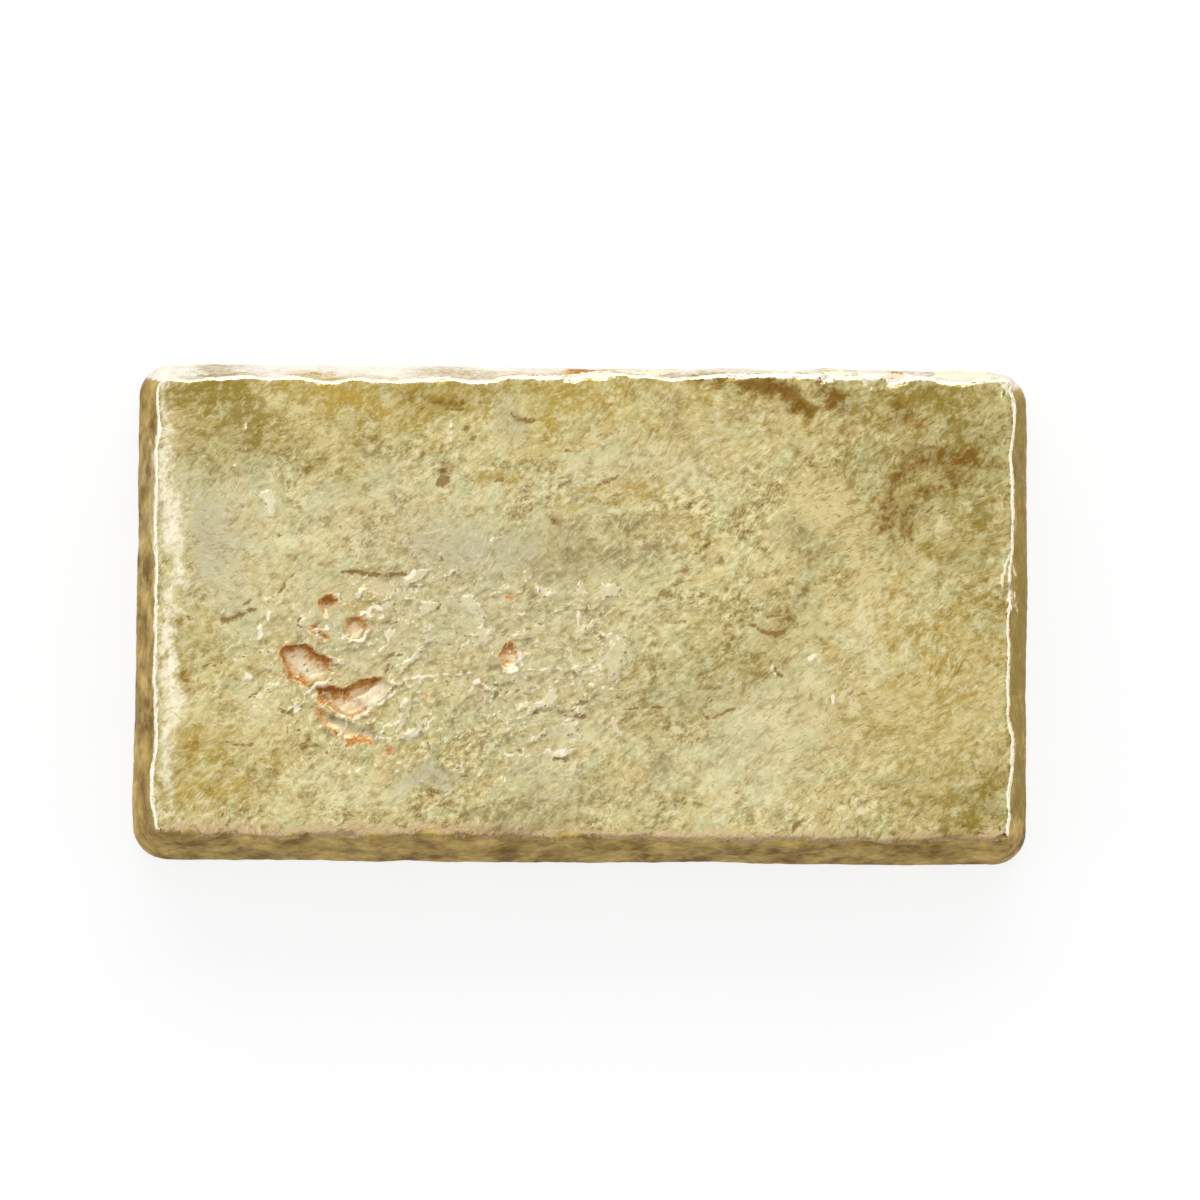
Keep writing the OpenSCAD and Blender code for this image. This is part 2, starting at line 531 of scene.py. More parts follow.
CREASES = {
    Line.CRACK: [
        # Cracks round the pits and on the left
        Crease(((-27.2, 1.3), (-26.6, 2.1), (-26.0, 3.1)), 0.36),
        Crease(((-18.1, -4.7), (-16.9, -3.9)), 0.36, 0.9),
        Crease(((-17.8, -6.0), (-17.4, -5.0)), 0.50, 0.7),
        Crease(((-16.6, -7.2), (-15.9, -6.6)), 0.40, 0.7),
        Crease(((-29.4, 5.7), (-27.4, 6.2), (-25.2, 6.9)), 0.36, 0.6),
        Crease(((-32.4, -1.1), (-31.6, -1.1), (-30.3, -0.5)), 0.55, 0.8),
        Crease(((-30.0, -0.3), (-29.2, -0.4)), 0.36, 0.9),
        Crease(((-30.3, 0.2), (-29.6, 0.5)), 0.36, 0.8),
        Crease(((-33.8, -4.2), (-33.1, -4.0)), 0.40, 0.65),
        Crease(((-34.1, -5.7), (-33.3, -5.1), (-32.6, -5.2)), 0.40, 0.7),
        Crease(((-32.6, -4.2), (-32.1, -5.2)), 0.36, 0.65),
        Crease(((-29.8, -8.1), (-29.2, -7.7), (-28.8, -7.0)), 0.36, 0.8),
        Crease(((-27.3, -8.9), (-26.7, -9.3), (-26.4, -9.3), (-25.8, -9.8)), 0.36, 0.9),
        Crease(((-31.8, -12.1), (-30.7, -12.3), (-29.2, -12.2)), 0.36, 0.75),
        Crease(((-35.5, -1.1), (-34.5, -1.1)), 0.36, 0.6),
        Crease(((-31.6, 2.7), (-31.0, 2.7)), 0.36, 0.65),
        # Cracks in the middle
        Crease(((1.5, 8.3), (5.5, 8.4), (9.5, 8.3)), 0.40, 0.6),
        Crease(((0.5, 10.8), (1.0, 11.2), (2.1, 11.5), (2.9, 12.0)), 0.36, 0.8),
        Crease(((-2.0, 14.0), (-1.3, 14.1), (0.0, 14.2)), 0.36, 0.7),
        Crease(((-5.1, 12.4), (-3.8, 12.4), (-2.7, 12.5)), 0.36, 0.7),
        Crease(((-10.4, 11.5), (-8.2, 11.5), (-5.5, 11.6)), 0.40, 0.7),
        Crease(((-6.8, 17.5), (-6.2, 16.8), (-4.2, 16.9), (-2.9, 16.5)), 0.55, 0.75),
        Crease(((-9.8, 18.2), (-9.1, 18.6), (-8.5, 18.1)), 0.45, 0.8),
        Crease(((-10.7, 16.3), (-10.6, 15.7)), 0.50, 0.8),
        Crease(((-10.5, 14.9), (-9.9, 15.4)), 0.45, 0.8),
        Crease(((-12.6, 17.8), (-11.7, 17.8), (-10.6, 17.6)), 0.40, 0.75),
        Crease(((-13.1, 11.0), (-12.2, 11.6)), 0.90, 1.0),
        Crease(((-4.7, -9.1), (-4.1, -9.3)), 0.42, 0.9),
        Crease(((-2.5, -8.9), (-1.8, -9.4)), 0.42, 0.9),
        Crease(((-0.9, -9.5), (0.0, -9.6)), 0.45, 1.0),
        Crease(((-0.3, -8.3), (0.4, -8.1)), 0.40, 0.9),
        Crease(((3.8, -8.8), (4.8, -8.9)), 0.40, 0.9),
        Crease(((6.0, -8.7), (6.8, -8.5)), 0.40, 0.85),
        Crease(((7.2, -10.6), (7.6, -9.9)), 0.42, 0.8),
        Crease(((8.4, -8.8), (8.8, -9.5)), 0.42, 0.75),
        Crease(((8.6, -10.8), (9.1, -10.6)), 0.42, 0.75),
        # Cracks on the right
        Crease(((10.4, -9.0), (10.8, -9.5), (11.5, -9.5), (12.3, -9.0), (13.5, -8.7)), 0.36, 0.75),
        Crease(((10.1, -9.0), (11.5, -7.7)), 0.36, 0.65),
        Crease(((6.8, -1.0), (9.1, -1.0)), 0.36, 0.65),
        Crease(((14.5, -1.2), (16.2, -1.9), (16.9, -2.2), (17.6, -1.8), (18.3, -1.0)), 0.40, 0.8),
        Crease(((15.9, -0.4), (17.3, -0.4), (17.8, -0.2)), 0.40, 0.75),
        Crease(((14.8, -4.4), (15.2, -3.9), (16.1, -3.7)), 0.45, 0.75),
        Crease(((16.7, -4.9), (17.2, -5.6), (17.6, -5.6)), 0.36, 0.9),
        Crease(((0.9, 15.5), (2.2, 15.7), (3.3, 16.0)), 0.36, 0.6),
        Crease(((5.5, 12.3), (6.4, 12.8)), 0.36, 0.65),
        Crease(((28.0, 12.8), (28.5, 14.1), (30.3, 14.8), (32.0, 14.4), (33.2, 13.2)), 0.65, 0.6),
        Crease(((28.5, 10.2), (28.0, 8.4), (28.3, 6.2)), 0.70, 0.6),
        Crease(((29.8, 9.7), (29.5, 7.5)), 0.55, 0.55),
        Crease(((31.6, 10.2), (32.1, 9.7)), 0.45, 0.9),
        Crease(((30.3, 9.1), (31.0, 9.4)), 0.40, 0.8),
        Crease(((13.5, 19.9), (15.7, 19.3), (18.3, 19.0), (20.5, 17.9)), 0.90, 0.75),
        Crease(((19.5, 17.5), (20.5, 18.1)), 0.90, 1.0),
        Crease(((-21.6, 3.0), (-19.1, 3.1), (-17.9, 2.9), (-16.0, 3.0)), 0.45, 1.0, 0.08),
        # Along the far edge
        Crease(((-26.9, 20.5), (-24.1, 20.6), (-21.9, 20.3)), 0.36, 0.8),
        Crease(((9.5, 20.4), (12.1, 20.5)), 0.36, 0.8),
        Crease(((-36.4, 20.1), (-34.5, 20.3), (-33.0, 20.1)), 0.45, 0.7),
    ],
    Line.RUST: [
        Crease(((-21.2, -11.7), (-20.4, -11.9), (-19.6, -11.8), (-18.8, -11.9)), 0.42, 1.0),
        Crease(((-23.8, -9.3), (-23.5, -9.9)), 0.50, 0.9),
        Crease(((-23.4, -10.0), (-22.7, -10.6), (-22.0, -11.4)), 0.36, 0.7),
        Crease(((-17.7, -12.5), (-16.7, -12.5)), 0.55, 0.7),
    ],
    # Painted highlights along ridges and curled lips that face the light
    Line.GLINT: [
        Crease(
            ((-25.0, -7.9), (-24.3, -7.2), (-23.8, -6.9), (-23.0, -6.7), (-22.5, -6.2)),
            0.36, 1.0, -0.10,
        ),
        Crease(((-28.1, -0.4), (-28.2, -1.1)), 0.40, 1.0, -0.06),
        Crease(((-28.7, -1.7), (-28.8, -2.9)), 0.40, 1.0, -0.06),
        Crease(((-12.1, 17.7), (-12.1, 14.1)), 0.36, 0.6, 0.0),
        Crease(((-8.5, 6.1), (-8.0, 6.5)), 0.36, 0.9, -0.03),
        Crease(((-6.1, -3.5), (-5.8, -4.2), (-5.8, -5.0)), 0.36, 1.0, -0.06),
        Crease(((-7.4, -5.6), (-5.8, -5.5)), 0.36, 0.9, -0.05),
        Crease(((-19.7, -9.4), (-18.9, -8.7), (-18.1, -8.4), (-16.8, -7.4)), 0.36, 0.9, -0.10),
        Crease(((-21.0, -3.2), (-20.1, -2.9), (-19.5, -2.5), (-19.1, -1.9)), 0.36, 0.9, -0.10),
        Crease(((-22.1, 1.1), (-21.8, 1.2)), 0.42, 1.0, -0.03),
        Crease(((-22.9, -1.6), (-22.8, -2.0)), 0.38, 1.0, -0.04),
        Crease(((-22.3, -1.4), (-22.2, -1.9)), 0.38, 1.0, -0.04),
        Crease(((-20.3, -0.8), (-19.8, -0.4), (-19.3, -0.4), (-18.8, 0.1), (-18.2, 0.0)), 0.36, 0.8, -0.07),
        Crease(((22.0, -7.5), (22.0, -8.1)), 0.36, 1.0, -0.03),
        Crease(((16.4, -4.7), (16.8, -5.6)), 0.36, 0.9, -0.03),
        Crease(((-30.3, 16.2), (-30.3, 15.6)), 0.36, 0.8, 0.0),
        Crease(((-30.3, 14.1), (-30.3, 13.6)), 0.36, 0.8, 0.0),
        Crease(((-31.1, 12.9), (-31.1, 12.4)), 0.36, 0.8, 0.0),
        Crease(((-28.3, 9.7), (-28.0, 8.0)), 0.36, 0.7, -0.03),
        Crease(((-16.1, -11.7), (-15.1, -11.3), (-14.0, -10.5), (-13.3, -9.5)), 0.36, 0.8, -0.08),
        Crease(((-18.6, -11.7), (-17.9, -10.8), (-16.8, -10.2), (-16.5, -9.7)), 0.36, 0.8, -0.08),
        Crease(((-21.6, -9.5), (-21.2, -10.2), (-21.3, -10.9)), 0.36, 0.9, -0.06),
        Crease(((-20.5, -9.8), (-19.7, -9.5)), 0.36, 0.8, -0.05),
        Crease(((19.7, -4.2), (20.4, -3.7)), 0.36, 0.8, -0.02),
        Crease(((22.6, -3.5), (22.9, -3.3)), 0.36, 0.8, -0.02),
        Crease(((0.3, 1.0), (0.2, -1.1)), 0.36, 0.8, -0.05),
        Crease(((-0.6, 0.3), (-0.8, -1.8)), 0.36, 0.7, -0.05),
        Crease(((35.6, 20.9), (36.6, 20.2), (37.6, 19.5)), 0.40, 0.9, -0.03),
        Crease(((36.5, 20.7), (37.7, 19.9)), 0.36, 0.9, -0.03),
        Crease(((38.0, 6.2), (37.9, 5.0), (37.4, 3.5), (37.1, 2.0)), 0.36, 1.0, -0.05),
        Crease(((37.9, 5.0), (38.5, 4.3), (38.9, 3.7)), 0.36, 0.9, -0.05),
        Crease(((-5.5, -5.4), (-2.0, -5.1)), 0.36, 0.7, -0.04),
        Crease(((-36.8, 7.6), (-36.5, 6.6), (-37.0, 5.6)), 0.36, 1.0, -0.04),
        Crease(((-37.0, 2.0), (-36.6, 1.2), (-36.5, 0.6)), 0.36, 0.9, -0.04),
        Crease(((-37.0, -4.0), (-36.6, -6.0), (-36.7, -8.0)), 0.40, 0.9, -0.04),
        Crease(((-16.1, -6.3), (-13.0, -6.0), (-9.9, -5.7)), 0.36, 0.7, -0.05),
    ],
}

STAINS = {
    Tone.SAGE: [
        Stain(-11.7, 1.3, 19.0, 10.2, -8, 0.60),
        Stain(-33.0, 6.0, 5.5, 9.0, 0, 0.60),
        Stain(5.1, 13.0, 12.4, 3.7, 4, 0.45),
        Stain(16.6, -9.3, 10.2, 6.6, 25, 0.45),
        Stain(-2.0, -8.8, 10.6, 6.2, 0, 0.40),
        Stain(-21.4, 10.2, 5.3, 3.5, 0, 0.30),
    ],
    Tone.OLIVE: [
        Stain(30.7, 14.1, 10.6, 9.7, 0, 0.65),
        Stain(33.3, -16.3, 7.5, 4.9, 20, 0.40),
        Stain(10.4, -6.2, 8.0, 4.4, 25, 0.40),
        Stain(-2.0, 20.3, 37.1, 2.3, 0, 0.40),
        Stain(-33.8, 18.6, 4.1, 2.3, -15, 0.85, 0.7),
        Stain(-30.0, 14.6, 3.7, 2.5, -35, 0.60, 0.8),
        Stain(-33.3, 16.2, 6.5, 4.2, -35, 0.55),
        Stain(-13.0, 18.8, 5.3, 1.8, -5, 0.45, 0.8),
        Stain(-22.3, 14.6, 7.3, 3.3, -10, 0.38),
        Stain(7.3, 19.7, 5.3, 1.2, -5, 0.55, 0.8),
        Stain(34.9, -17.7, 3.0, 1.9, 35, 0.70, 0.8),
        Stain(34.7, 1.3, 4.0, 6.6, 0, 0.30),
    ],
    Tone.GOLD: [
        Stain(30.7, -2.2, 13.3, 16.8, 0, 0.30),
        Stain(-5.5, 18.6, 37.1, 5.5, 0, 0.42),
        Stain(-22.7, 18.9, 4.9, 1.9, -5, 0.85, 0.7),
        Stain(-18.3, 17.0, 3.9, 1.9, -20, 0.45),
        Stain(-0.7, 18.6, 5.5, 2.3, 5, 0.45),
        Stain(-33.3, -13.7, 7.5, 4.9, 15, 0.55),
        Stain(-35.1, -3.5, 3.0, 4.1, 0, 0.45),
        Stain(-19.2, 1.6, 2.3, 1.8, 0, 0.75, 0.8),
        Stain(30.3, -9.3, 7.1, 7.1, 0, 0.30),
    ],
    Tone.BROWN: [
        Stain(-12.6, 11.3, 1.1, 0.9, 20, 0.75, 0.6),
        Stain(-3.7, 7.9, 0.6, 0.6, 0, 0.90, 0.6),
        Stain(32.6, 14.1, 3.5, 2.1, 0, 0.40),
        Stain(28.5, 17.9, 1.1, 0.9, 0, 0.55, 0.8),
        Stain(39.0, 14.6, 0.5, 0.4, 0, 0.90, 0.6),
    ],
    Tone.GREY: [
        Stain(0.2, 5.9, 8.0, 3.5, 0, 0.58),
        Stain(-2.0, -17.7, 10.6, 2.3, 4, 0.45),
        Stain(18.3, 6.6, 3.0, 2.3, -35, 0.40),
        Stain(7.3, -14.4, 2.3, 1.8, 25, 0.50),
        Stain(-32.5, 11.9, 4.2, 3.5, 0, 0.25),
        Stain(7.7, 16.8, 2.1, 1.4, -30, 0.45, 0.8),
    ],
    Tone.SLATE: [
        Stain(-12.1, 5.2, 7.1, 3.2, 0, 0.42),
        Stain(-13.9, -15.6, 2.3, 1.5, 0, 0.90, 0.8),
        Stain(-32.7, 5.6, 3.0, 3.0, 0, 0.55),
        Stain(-8.3, 16.6, 2.1, 1.6, -20, 0.60),
        Stain(-3.3, -13.7, 1.9, 2.5, 0, 0.50),
        Stain(-20.4, -2.2, 6.2, 5.3, 0, 0.30),
    ],
    Tone.TAN: [
        Stain(21.4, 9.9, 3.5, 2.1, 8, 0.85, 0.8),
        Stain(28.0, -9.7, 8.0, 5.3, 0, 0.40),
        Stain(-29.4, -9.7, 4.9, 3.0, 0, 0.45),
        Stain(-18.8, -7.5, 6.4, 5.3, 0, 0.35),
        Stain(4.5, -14.8, 2.3, 1.6, 0, 0.45),
        Stain(-25.0, 16.3, 5.3, 1.8, -35, 0.35),
    ],
    Tone.CREAM: [
        Stain(25.0, -2.2, 1.9, 4.6, 8, 0.60),
        Stain(-25.0, 6.2, 3.7, 1.3, 8, 0.60, 0.8),
        Stain(-21.0, -16.3, 7.5, 2.2, 0, 0.65),
        Stain(-1.3, -12.6, 2.3, 2.3, 0, 0.65, 0.8),
        Stain(13.7, -15.2, 5.3, 3.4, 0, 0.50),
        Stain(17.9, -9.1, 4.4, 3.7, 0, 0.40),
        Stain(-28.9, -8.0, 3.5, 3.2, 0, 0.50),
        Stain(5.1, -11.7, 3.2, 1.2, 0, 0.45),
        Stain(26.5, 15.8, 1.9, 1.1, 0, 0.40, 0.8),
        Stain(32.0, 8.8, 1.6, 1.3, 0, 0.50, 0.8),
        Stain(-19.7, -3.5, 9.7, 7.1, 0, 0.30),
        Stain(-38.7, 12.8, 0.6, 1.1, 0, 0.80, 0.8),
        Stain(-38.6, 5.4, 0.7, 1.5, 0, 0.80, 0.8),
    ],
    Tone.ORANGE: [
        Stain(-35.7, 13.9, 0.8, 0.6, 0, 0.60, 0.8),
        Stain(14.4, 16.8, 1.8, 0.7, 8, 0.50, 0.8),
        Stain(23.3, 16.9, 0.8, 0.6, 0, 0.55, 0.8),
        Stain(29.0, 17.2, 1.2, 0.6, 0, 0.50, 0.8),
        Stain(39.0, 9.7, 0.4, 0.6, 0, 0.95, 0.5),
    ],
}

SMEARS = {
    Tone.OLIVE: [
        Stroke(((22.9, 19.0), (24.7, 17.4), (27.0, 16.2)), 1.60, 0.55),
        Stroke(((26.3, 19.6), (28.5, 18.7), (31.6, 19.2), (35.6, 18.6)), 2.10, 0.50),
        Stroke(((30.7, 19.0), (32.3, 17.2), (32.9, 15.3)), 1.75, 0.70),
        Stroke(((29.5, 6.2), (31.6, 4.9), (34.1, 5.9), (35.3, 8.4), (34.9, 10.9)), 1.15, 0.60),
        Stroke(((35.7, 17.2), (36.2, 12.8), (35.8, 7.5), (35.1, 3.1)), 1.95, 0.50),
        Stroke(((21.7, 7.1), (19.9, 3.1), (18.3, 0.3), (16.6, -2.7), (14.8, -5.7)), 3.20, 0.38),
        Stroke(((26.3, -15.6), (29.4, -14.4), (32.9, -13.7), (36.0, -14.1)), 0.80, 0.60),
        Stroke(((28.0, -17.4), (31.6, -16.3), (35.6, -15.6)), 1.25, 0.50),
        Stroke(((31.6, -19.7), (33.8, -18.3), (35.6, -16.3)), 1.75, 0.70),
        Stroke(((-25.0, 12.6), (-23.0, 13.3), (-21.0, 12.1)), 0.55, 0.50),
        # Painted shade that darkens the whole right wall
        Stroke(((39.3, 19.0), (39.5, 8.0), (39.3, -4.0), (39.4, -18.0)), 1.60, 1.00),
    ],
    Tone.GOLD: [
        Stroke(((-3.0, 10.1), (0.7, 10.8), (5.1, 10.8), (8.8, 11.6)), 0.60, 0.75),
        Stroke(((-2.0, 9.1), (2.4, 9.9), (6.8, 10.2)), 0.55, 0.55),
        Stroke(((-10.1, 11.3), (-7.7, 11.6), (-5.2, 11.4)), 0.80, 0.85),
        Stroke(((-37.3, -17.4), (-34.7, -16.0), (-31.1, -16.5), (-27.2, -16.3)), 1.60, 0.55),
        Stroke(((-27.8, 15.5), (-27.4, 14.4), (-28.0, 13.2)), 0.55, 0.60),
    ],
    Tone.BROWN: [
        Stroke(((9.5, 20.4), (13.0, 19.7), (16.6, 18.9), (19.7, 17.6)), 1.35, 0.80),
        Stroke(((14.4, 20.0), (17.3, 19.3), (19.9, 17.9)), 0.90, 0.75),
        Stroke(((20.3, 20.1), (21.5, 19.2), (22.9, 17.9)), 1.25, 0.95),
        Stroke(((27.4, 18.6), (28.3, 17.9), (28.8, 16.9)), 0.80, 0.60),
        Stroke((
            (27.5, 4.9), (27.1, 8.4), (27.4, 11.7), (28.8, 13.5), (31.1, 14.3), (33.5, 14.0), (34.8, 12.6),
        ), 1.25, 0.80),
        Stroke(((28.5, 5.9), (28.9, 8.4), (29.7, 10.7), (31.6, 11.8), (33.7, 11.4)), 0.80, 0.80),
        Stroke(((30.7, 10.2), (30.3, 8.7), (31.1, 7.5), (32.5, 7.2)), 0.55, 0.50),
        Stroke(((19.9, 3.1), (18.2, 0.0), (16.4, -2.7)), 1.30, 0.35),
        Stroke(((-36.9, -15.3), (-35.6, -13.3), (-33.3, -12.2), (-31.0, -11.9)), 0.70, 0.55),
        Stroke(((-33.3, -16.5), (-31.8, -14.3), (-30.3, -13.6), (-28.3, -14.2)), 0.70, 0.50),
        Stroke(((-29.8, -16.9), (-28.3, -16.0), (-27.1, -14.4)), 0.80, 0.55),
        Stroke(((-37.8, 13.8), (-36.0, 13.6), (-34.1, 14.3)), 0.70, 0.45),
        Stroke(((-16.6, 19.6), (-14.4, 19.2), (-11.5, 18.2)), 0.70, 0.50),
        Stroke(((12.1, 16.3), (14.4, 16.9), (16.6, 17.4)), 0.70, 0.45),
        Stroke(((-6.8, 17.2), (-6.1, 16.5), (-5.5, 16.9)), 0.70, 0.60),
        Stroke(((-36.9, -0.9), (-35.7, -3.1), (-35.4, -6.6)), 0.70, 0.35),
        Stroke(((-9.9, -19.7), (-3.8, -19.2), (1.5, -18.6)), 0.70, 0.40),
    ],
    Tone.GREY: [
        Stroke(((-5.5, 8.1), (-0.2, 8.1), (9.7, 8.4)), 0.60, 0.50),
        Stroke(((-6.2, 4.9), (-2.9, 3.1), (1.5, 3.4), (5.5, 4.9)), 1.95, 0.50),
        Stroke(((17.6, 8.4), (19.7, 7.1), (21.7, 5.7)), 1.80, 0.40),
        Stroke(((-9.9, -18.3), (-5.5, -17.5), (-1.1, -16.9), (2.6, -15.3)), 2.40, 0.50),
        Stroke(((5.1, -15.6), (7.3, -14.2), (9.7, -13.5)), 1.35, 0.55),
        Stroke(((-33.3, -0.4), (-31.3, -1.0), (-29.4, -0.3)), 0.80, 0.50),
        Stroke(((5.1, -6.6), (9.5, -8.0), (13.9, -7.5)), 1.40, 0.40),
        Stroke(((1.5, 4.9), (6.0, 5.9), (9.5, 4.9)), 1.25, 0.45),
    ],
    Tone.SLATE: [
        Stroke(((-16.3, 6.1), (-11.7, 5.1), (-7.3, 5.9), (-3.6, 4.7)), 2.10, 0.42),
        Stroke(((-15.9, -16.1), (-13.9, -15.3), (-12.0, -16.3)), 1.35, 0.80),
        Stroke(((-34.7, 10.2), (-33.3, 6.6), (-34.7, 3.1)), 2.10, 0.50),
    ],
    Tone.TAN: [
        Stroke((
            (18.5, 10.9), (21.9, 10.4), (23.8, 8.8), (24.3, 5.7), (25.0, 2.2), (25.6, -1.5),
        ), 2.10, 0.80),
        Stroke(((1.9, -15.4), (4.2, -14.5), (6.6, -14.2)), 0.95, 0.55),
        Stroke(((-31.0, 20.2), (-28.3, 17.9), (-25.0, 15.8), (-21.4, 14.8)), 1.25, 0.45),
    ],
    Tone.CREAM: [
        Stroke(((-28.3, 6.1), (-25.0, 5.8), (-21.8, 7.1)), 1.05, 0.65),
        Stroke(((-28.2, 12.8), (-27.9, 9.1), (-28.3, 4.9), (-28.7, -0.6)), 0.80, 0.65),
        Stroke(((24.5, 0.8), (25.7, -3.1), (25.4, -6.8)), 1.35, 0.60),
        Stroke(((-23.6, -15.5), (-21.8, -16.5), (-19.5, -15.5), (-15.9, -16.5)), 1.25, 0.50),
        Stroke(((10.0, -12.8), (13.9, -10.2), (18.3, -6.6), (21.0, -5.7)), 1.95, 0.40),
    ],
    # Painted sheen along the left edge of the face
    Tone.WHITE: [
        Stroke(((-37.8, 20.0), (-37.7, 17.0), (-37.8, 14.0)), 0.90, 0.80),
        Stroke(((-37.6, 15.0), (-37.0, 12.5), (-37.4, 10.5)), 1.30, 0.85),
        Stroke(((-37.4, 11.0), (-36.5, 9.0), (-36.9, 7.0), (-36.2, 5.5)), 1.90, 1.00),
        Stroke(((-37.2, 6.5), (-36.8, 3.5), (-37.4, 1.5)), 1.30, 0.85),
        Stroke(((-37.4, 2.0), (-36.9, -0.5), (-37.4, -2.5)), 1.00, 0.80),
        Stroke(((-37.5, -2.0), (-36.6, -4.0), (-37.0, -6.5)), 1.50, 1.00),
        Stroke(((-37.2, -6.0), (-36.4, -8.5), (-36.9, -11.0)), 1.60, 1.00),
        Stroke(((-37.2, -10.5), (-36.7, -12.5), (-37.2, -14.5)), 1.30, 0.95),
        Stroke(((-37.3, -14.0), (-36.9, -16.3), (-36.6, -18.7)), 0.90, 0.60),
    ],
}

# Where the skin is most wrinkled, and where the rim runs out a little because the mould let it
WRINKLES = FaceMark(-13.0, -5.5, 20.0, 10.5, 0)
RUN_OUT = FaceMark(-39.0, -16.5, 5.0, 5.0, 0)

# The way in plan to the light, as long as the step that tells which way an edge faces
LIGHT_WAY = (-0.10, 0.16)

EDGE_CHIPS = [
    EdgeChip((
        (-2.3, 20.9, 0.4), (-1.8, 21.6, 0.9), (-0.9, 21.8, 1.0), (1.5, 21.9, 1.0), (2.5, 21.7, 0.6),
        (2.2, 21.1, 0.2), (2.8, 20.8, 0.0), (0.7, 20.5, 0.0), (-1.3, 20.2, 0.0), (-2.3, 20.6, 0.1),
    ), 0.5),
    EdgeChip((
        (2.8, 21.2, 0.1), (4.0, 21.6, 0.4), (5.5, 21.6, 0.3), (7.6, 21.3, 0.0), (6.4, 20.8, 0.0),
        (5.1, 20.8, 0.0), (3.8, 21.0, 0.1),
    ), 0.3),
    EdgeChip((
        (20.6, 20.3, 0.0), (20.8, 21.1, 0.2), (21.3, 21.6, 0.0), (22.7, 21.6, 0.0), (23.4, 21.2, 0.0),
        (22.4, 20.9, 0.0), (21.6, 20.5, 0.0),
    ), 0.4),
    EdgeChip((
        (23.5, 21.7, 0.3), (24.3, 21.7, 0.0), (24.7, 20.9, 0.2), (25.3, 20.0, 0.0), (24.7, 20.2, 0.5),
        (24.0, 20.8, 0.6),
    ), 0.4),
    EdgeChip((
        (25.9, 21.6, 0.2), (27.2, 21.7, 0.9), (28.5, 21.6, 0.6), (28.8, 20.9, 0.2), (28.3, 20.4, 0.0),
        (27.4, 20.1, 0.1), (26.5, 20.4, 0.3), (26.2, 21.0, 0.4),
    ), 0.5),
    EdgeChip((
        (30.8, 21.6, 0.0), (35.6, 21.6, 0.0), (35.8, 20.9, 0.1), (34.9, 20.5, 0.0), (33.5, 20.1, 0.1),
        (32.0, 20.4, 0.0), (31.1, 20.8, 0.0),
    ), 0.4),
    EdgeChip((
        (37.6, 2.7, 0.3), (38.5, 2.0, 0.2), (38.7, 0.3, 0.2), (37.6, -0.2, 0.0), (36.9, 0.8, 0.0),
        (37.0, 1.8, 0.3),
    ), 0.5, 0.45),
]


class Signal:
    """A shader socket that takes part in sums and products as a number does."""

    def __init__(self, tree: "FinishTree", socket: bpy.types.NodeSocket) -> None:
        """Wraps a node's output.

        Args:
            tree: The tree that the node is in.
            socket: The output.
        """
        self.tree = tree
        self.socket = socket

    def maths(self, operation: str, first: object, second: object) -> "Signal":
        """Adds a Math node.

        Args:
            operation: The node's operation.
            first: Its first value or signal.
            second: Its second value or signal.

        Returns:
            The result.
        """
        return self.tree.node("ShaderNodeMath", {"operation": operation}, {0: first, 1: second})

    def __add__(self, other: object) -> "Signal":
        """Sum."""
        return self.maths("ADD", self, other)

    def __radd__(self, other: object) -> "Signal":
        """Sum, from the right."""
        return self.maths("ADD", other, self)

    def __sub__(self, other: object) -> "Signal":
        """Difference."""
        return self.maths("SUBTRACT", self, other)

    def __rsub__(self, other: object) -> "Signal":
        """Difference, from the right."""
        return self.maths("SUBTRACT", other, self)

    def __mul__(self, other: object) -> "Signal":
        """Product."""
        return self.maths("MULTIPLY", self, other)

    def __rmul__(self, other: object) -> "Signal":
        """Product, from the right."""
        return self.maths("MULTIPLY", other, self)

    def step(self, low: float, high: float) -> "Signal":
        """Eases the signal from 0 at low to 1 at high.

        Args:
            low: Value that gives 0.
            high: Value that gives 1.

        Returns:
            The eased share.
        """
        if low > high:
            return 1 - self.step(high, low)
        settings = {"interpolation_type": "SMOOTHSTEP"}
        return self.tree.node("ShaderNodeMapRange", settings, {"Value": self, 1: low, 2: high})

    def terrace(self, edge: float, starts: Point = (0.42, 0.50, 0.57)) -> "Signal":
        """Turns the signal into four flat levels from 0 to 1.

        Args:
            edge: Width of the rise between two levels.
            starts: Values at which the rises start.

        Returns:
            The levels.
        """
        first, second, third = (self.step(start, start + edge) for start in starts)
        return (first + second + third) * (1 / 3)

    def ridge(self, level: float, half_width: float) -> "Signal":
        """A line along which the signal has one value.

        Args:
            level: The value on the line.
            half_width: How far from it the line ends.

        Returns:
            A share of 1 on the line and 0 beside it.
        """
        return self.step(level - half_width, level) - self.step(level, level + half_width)


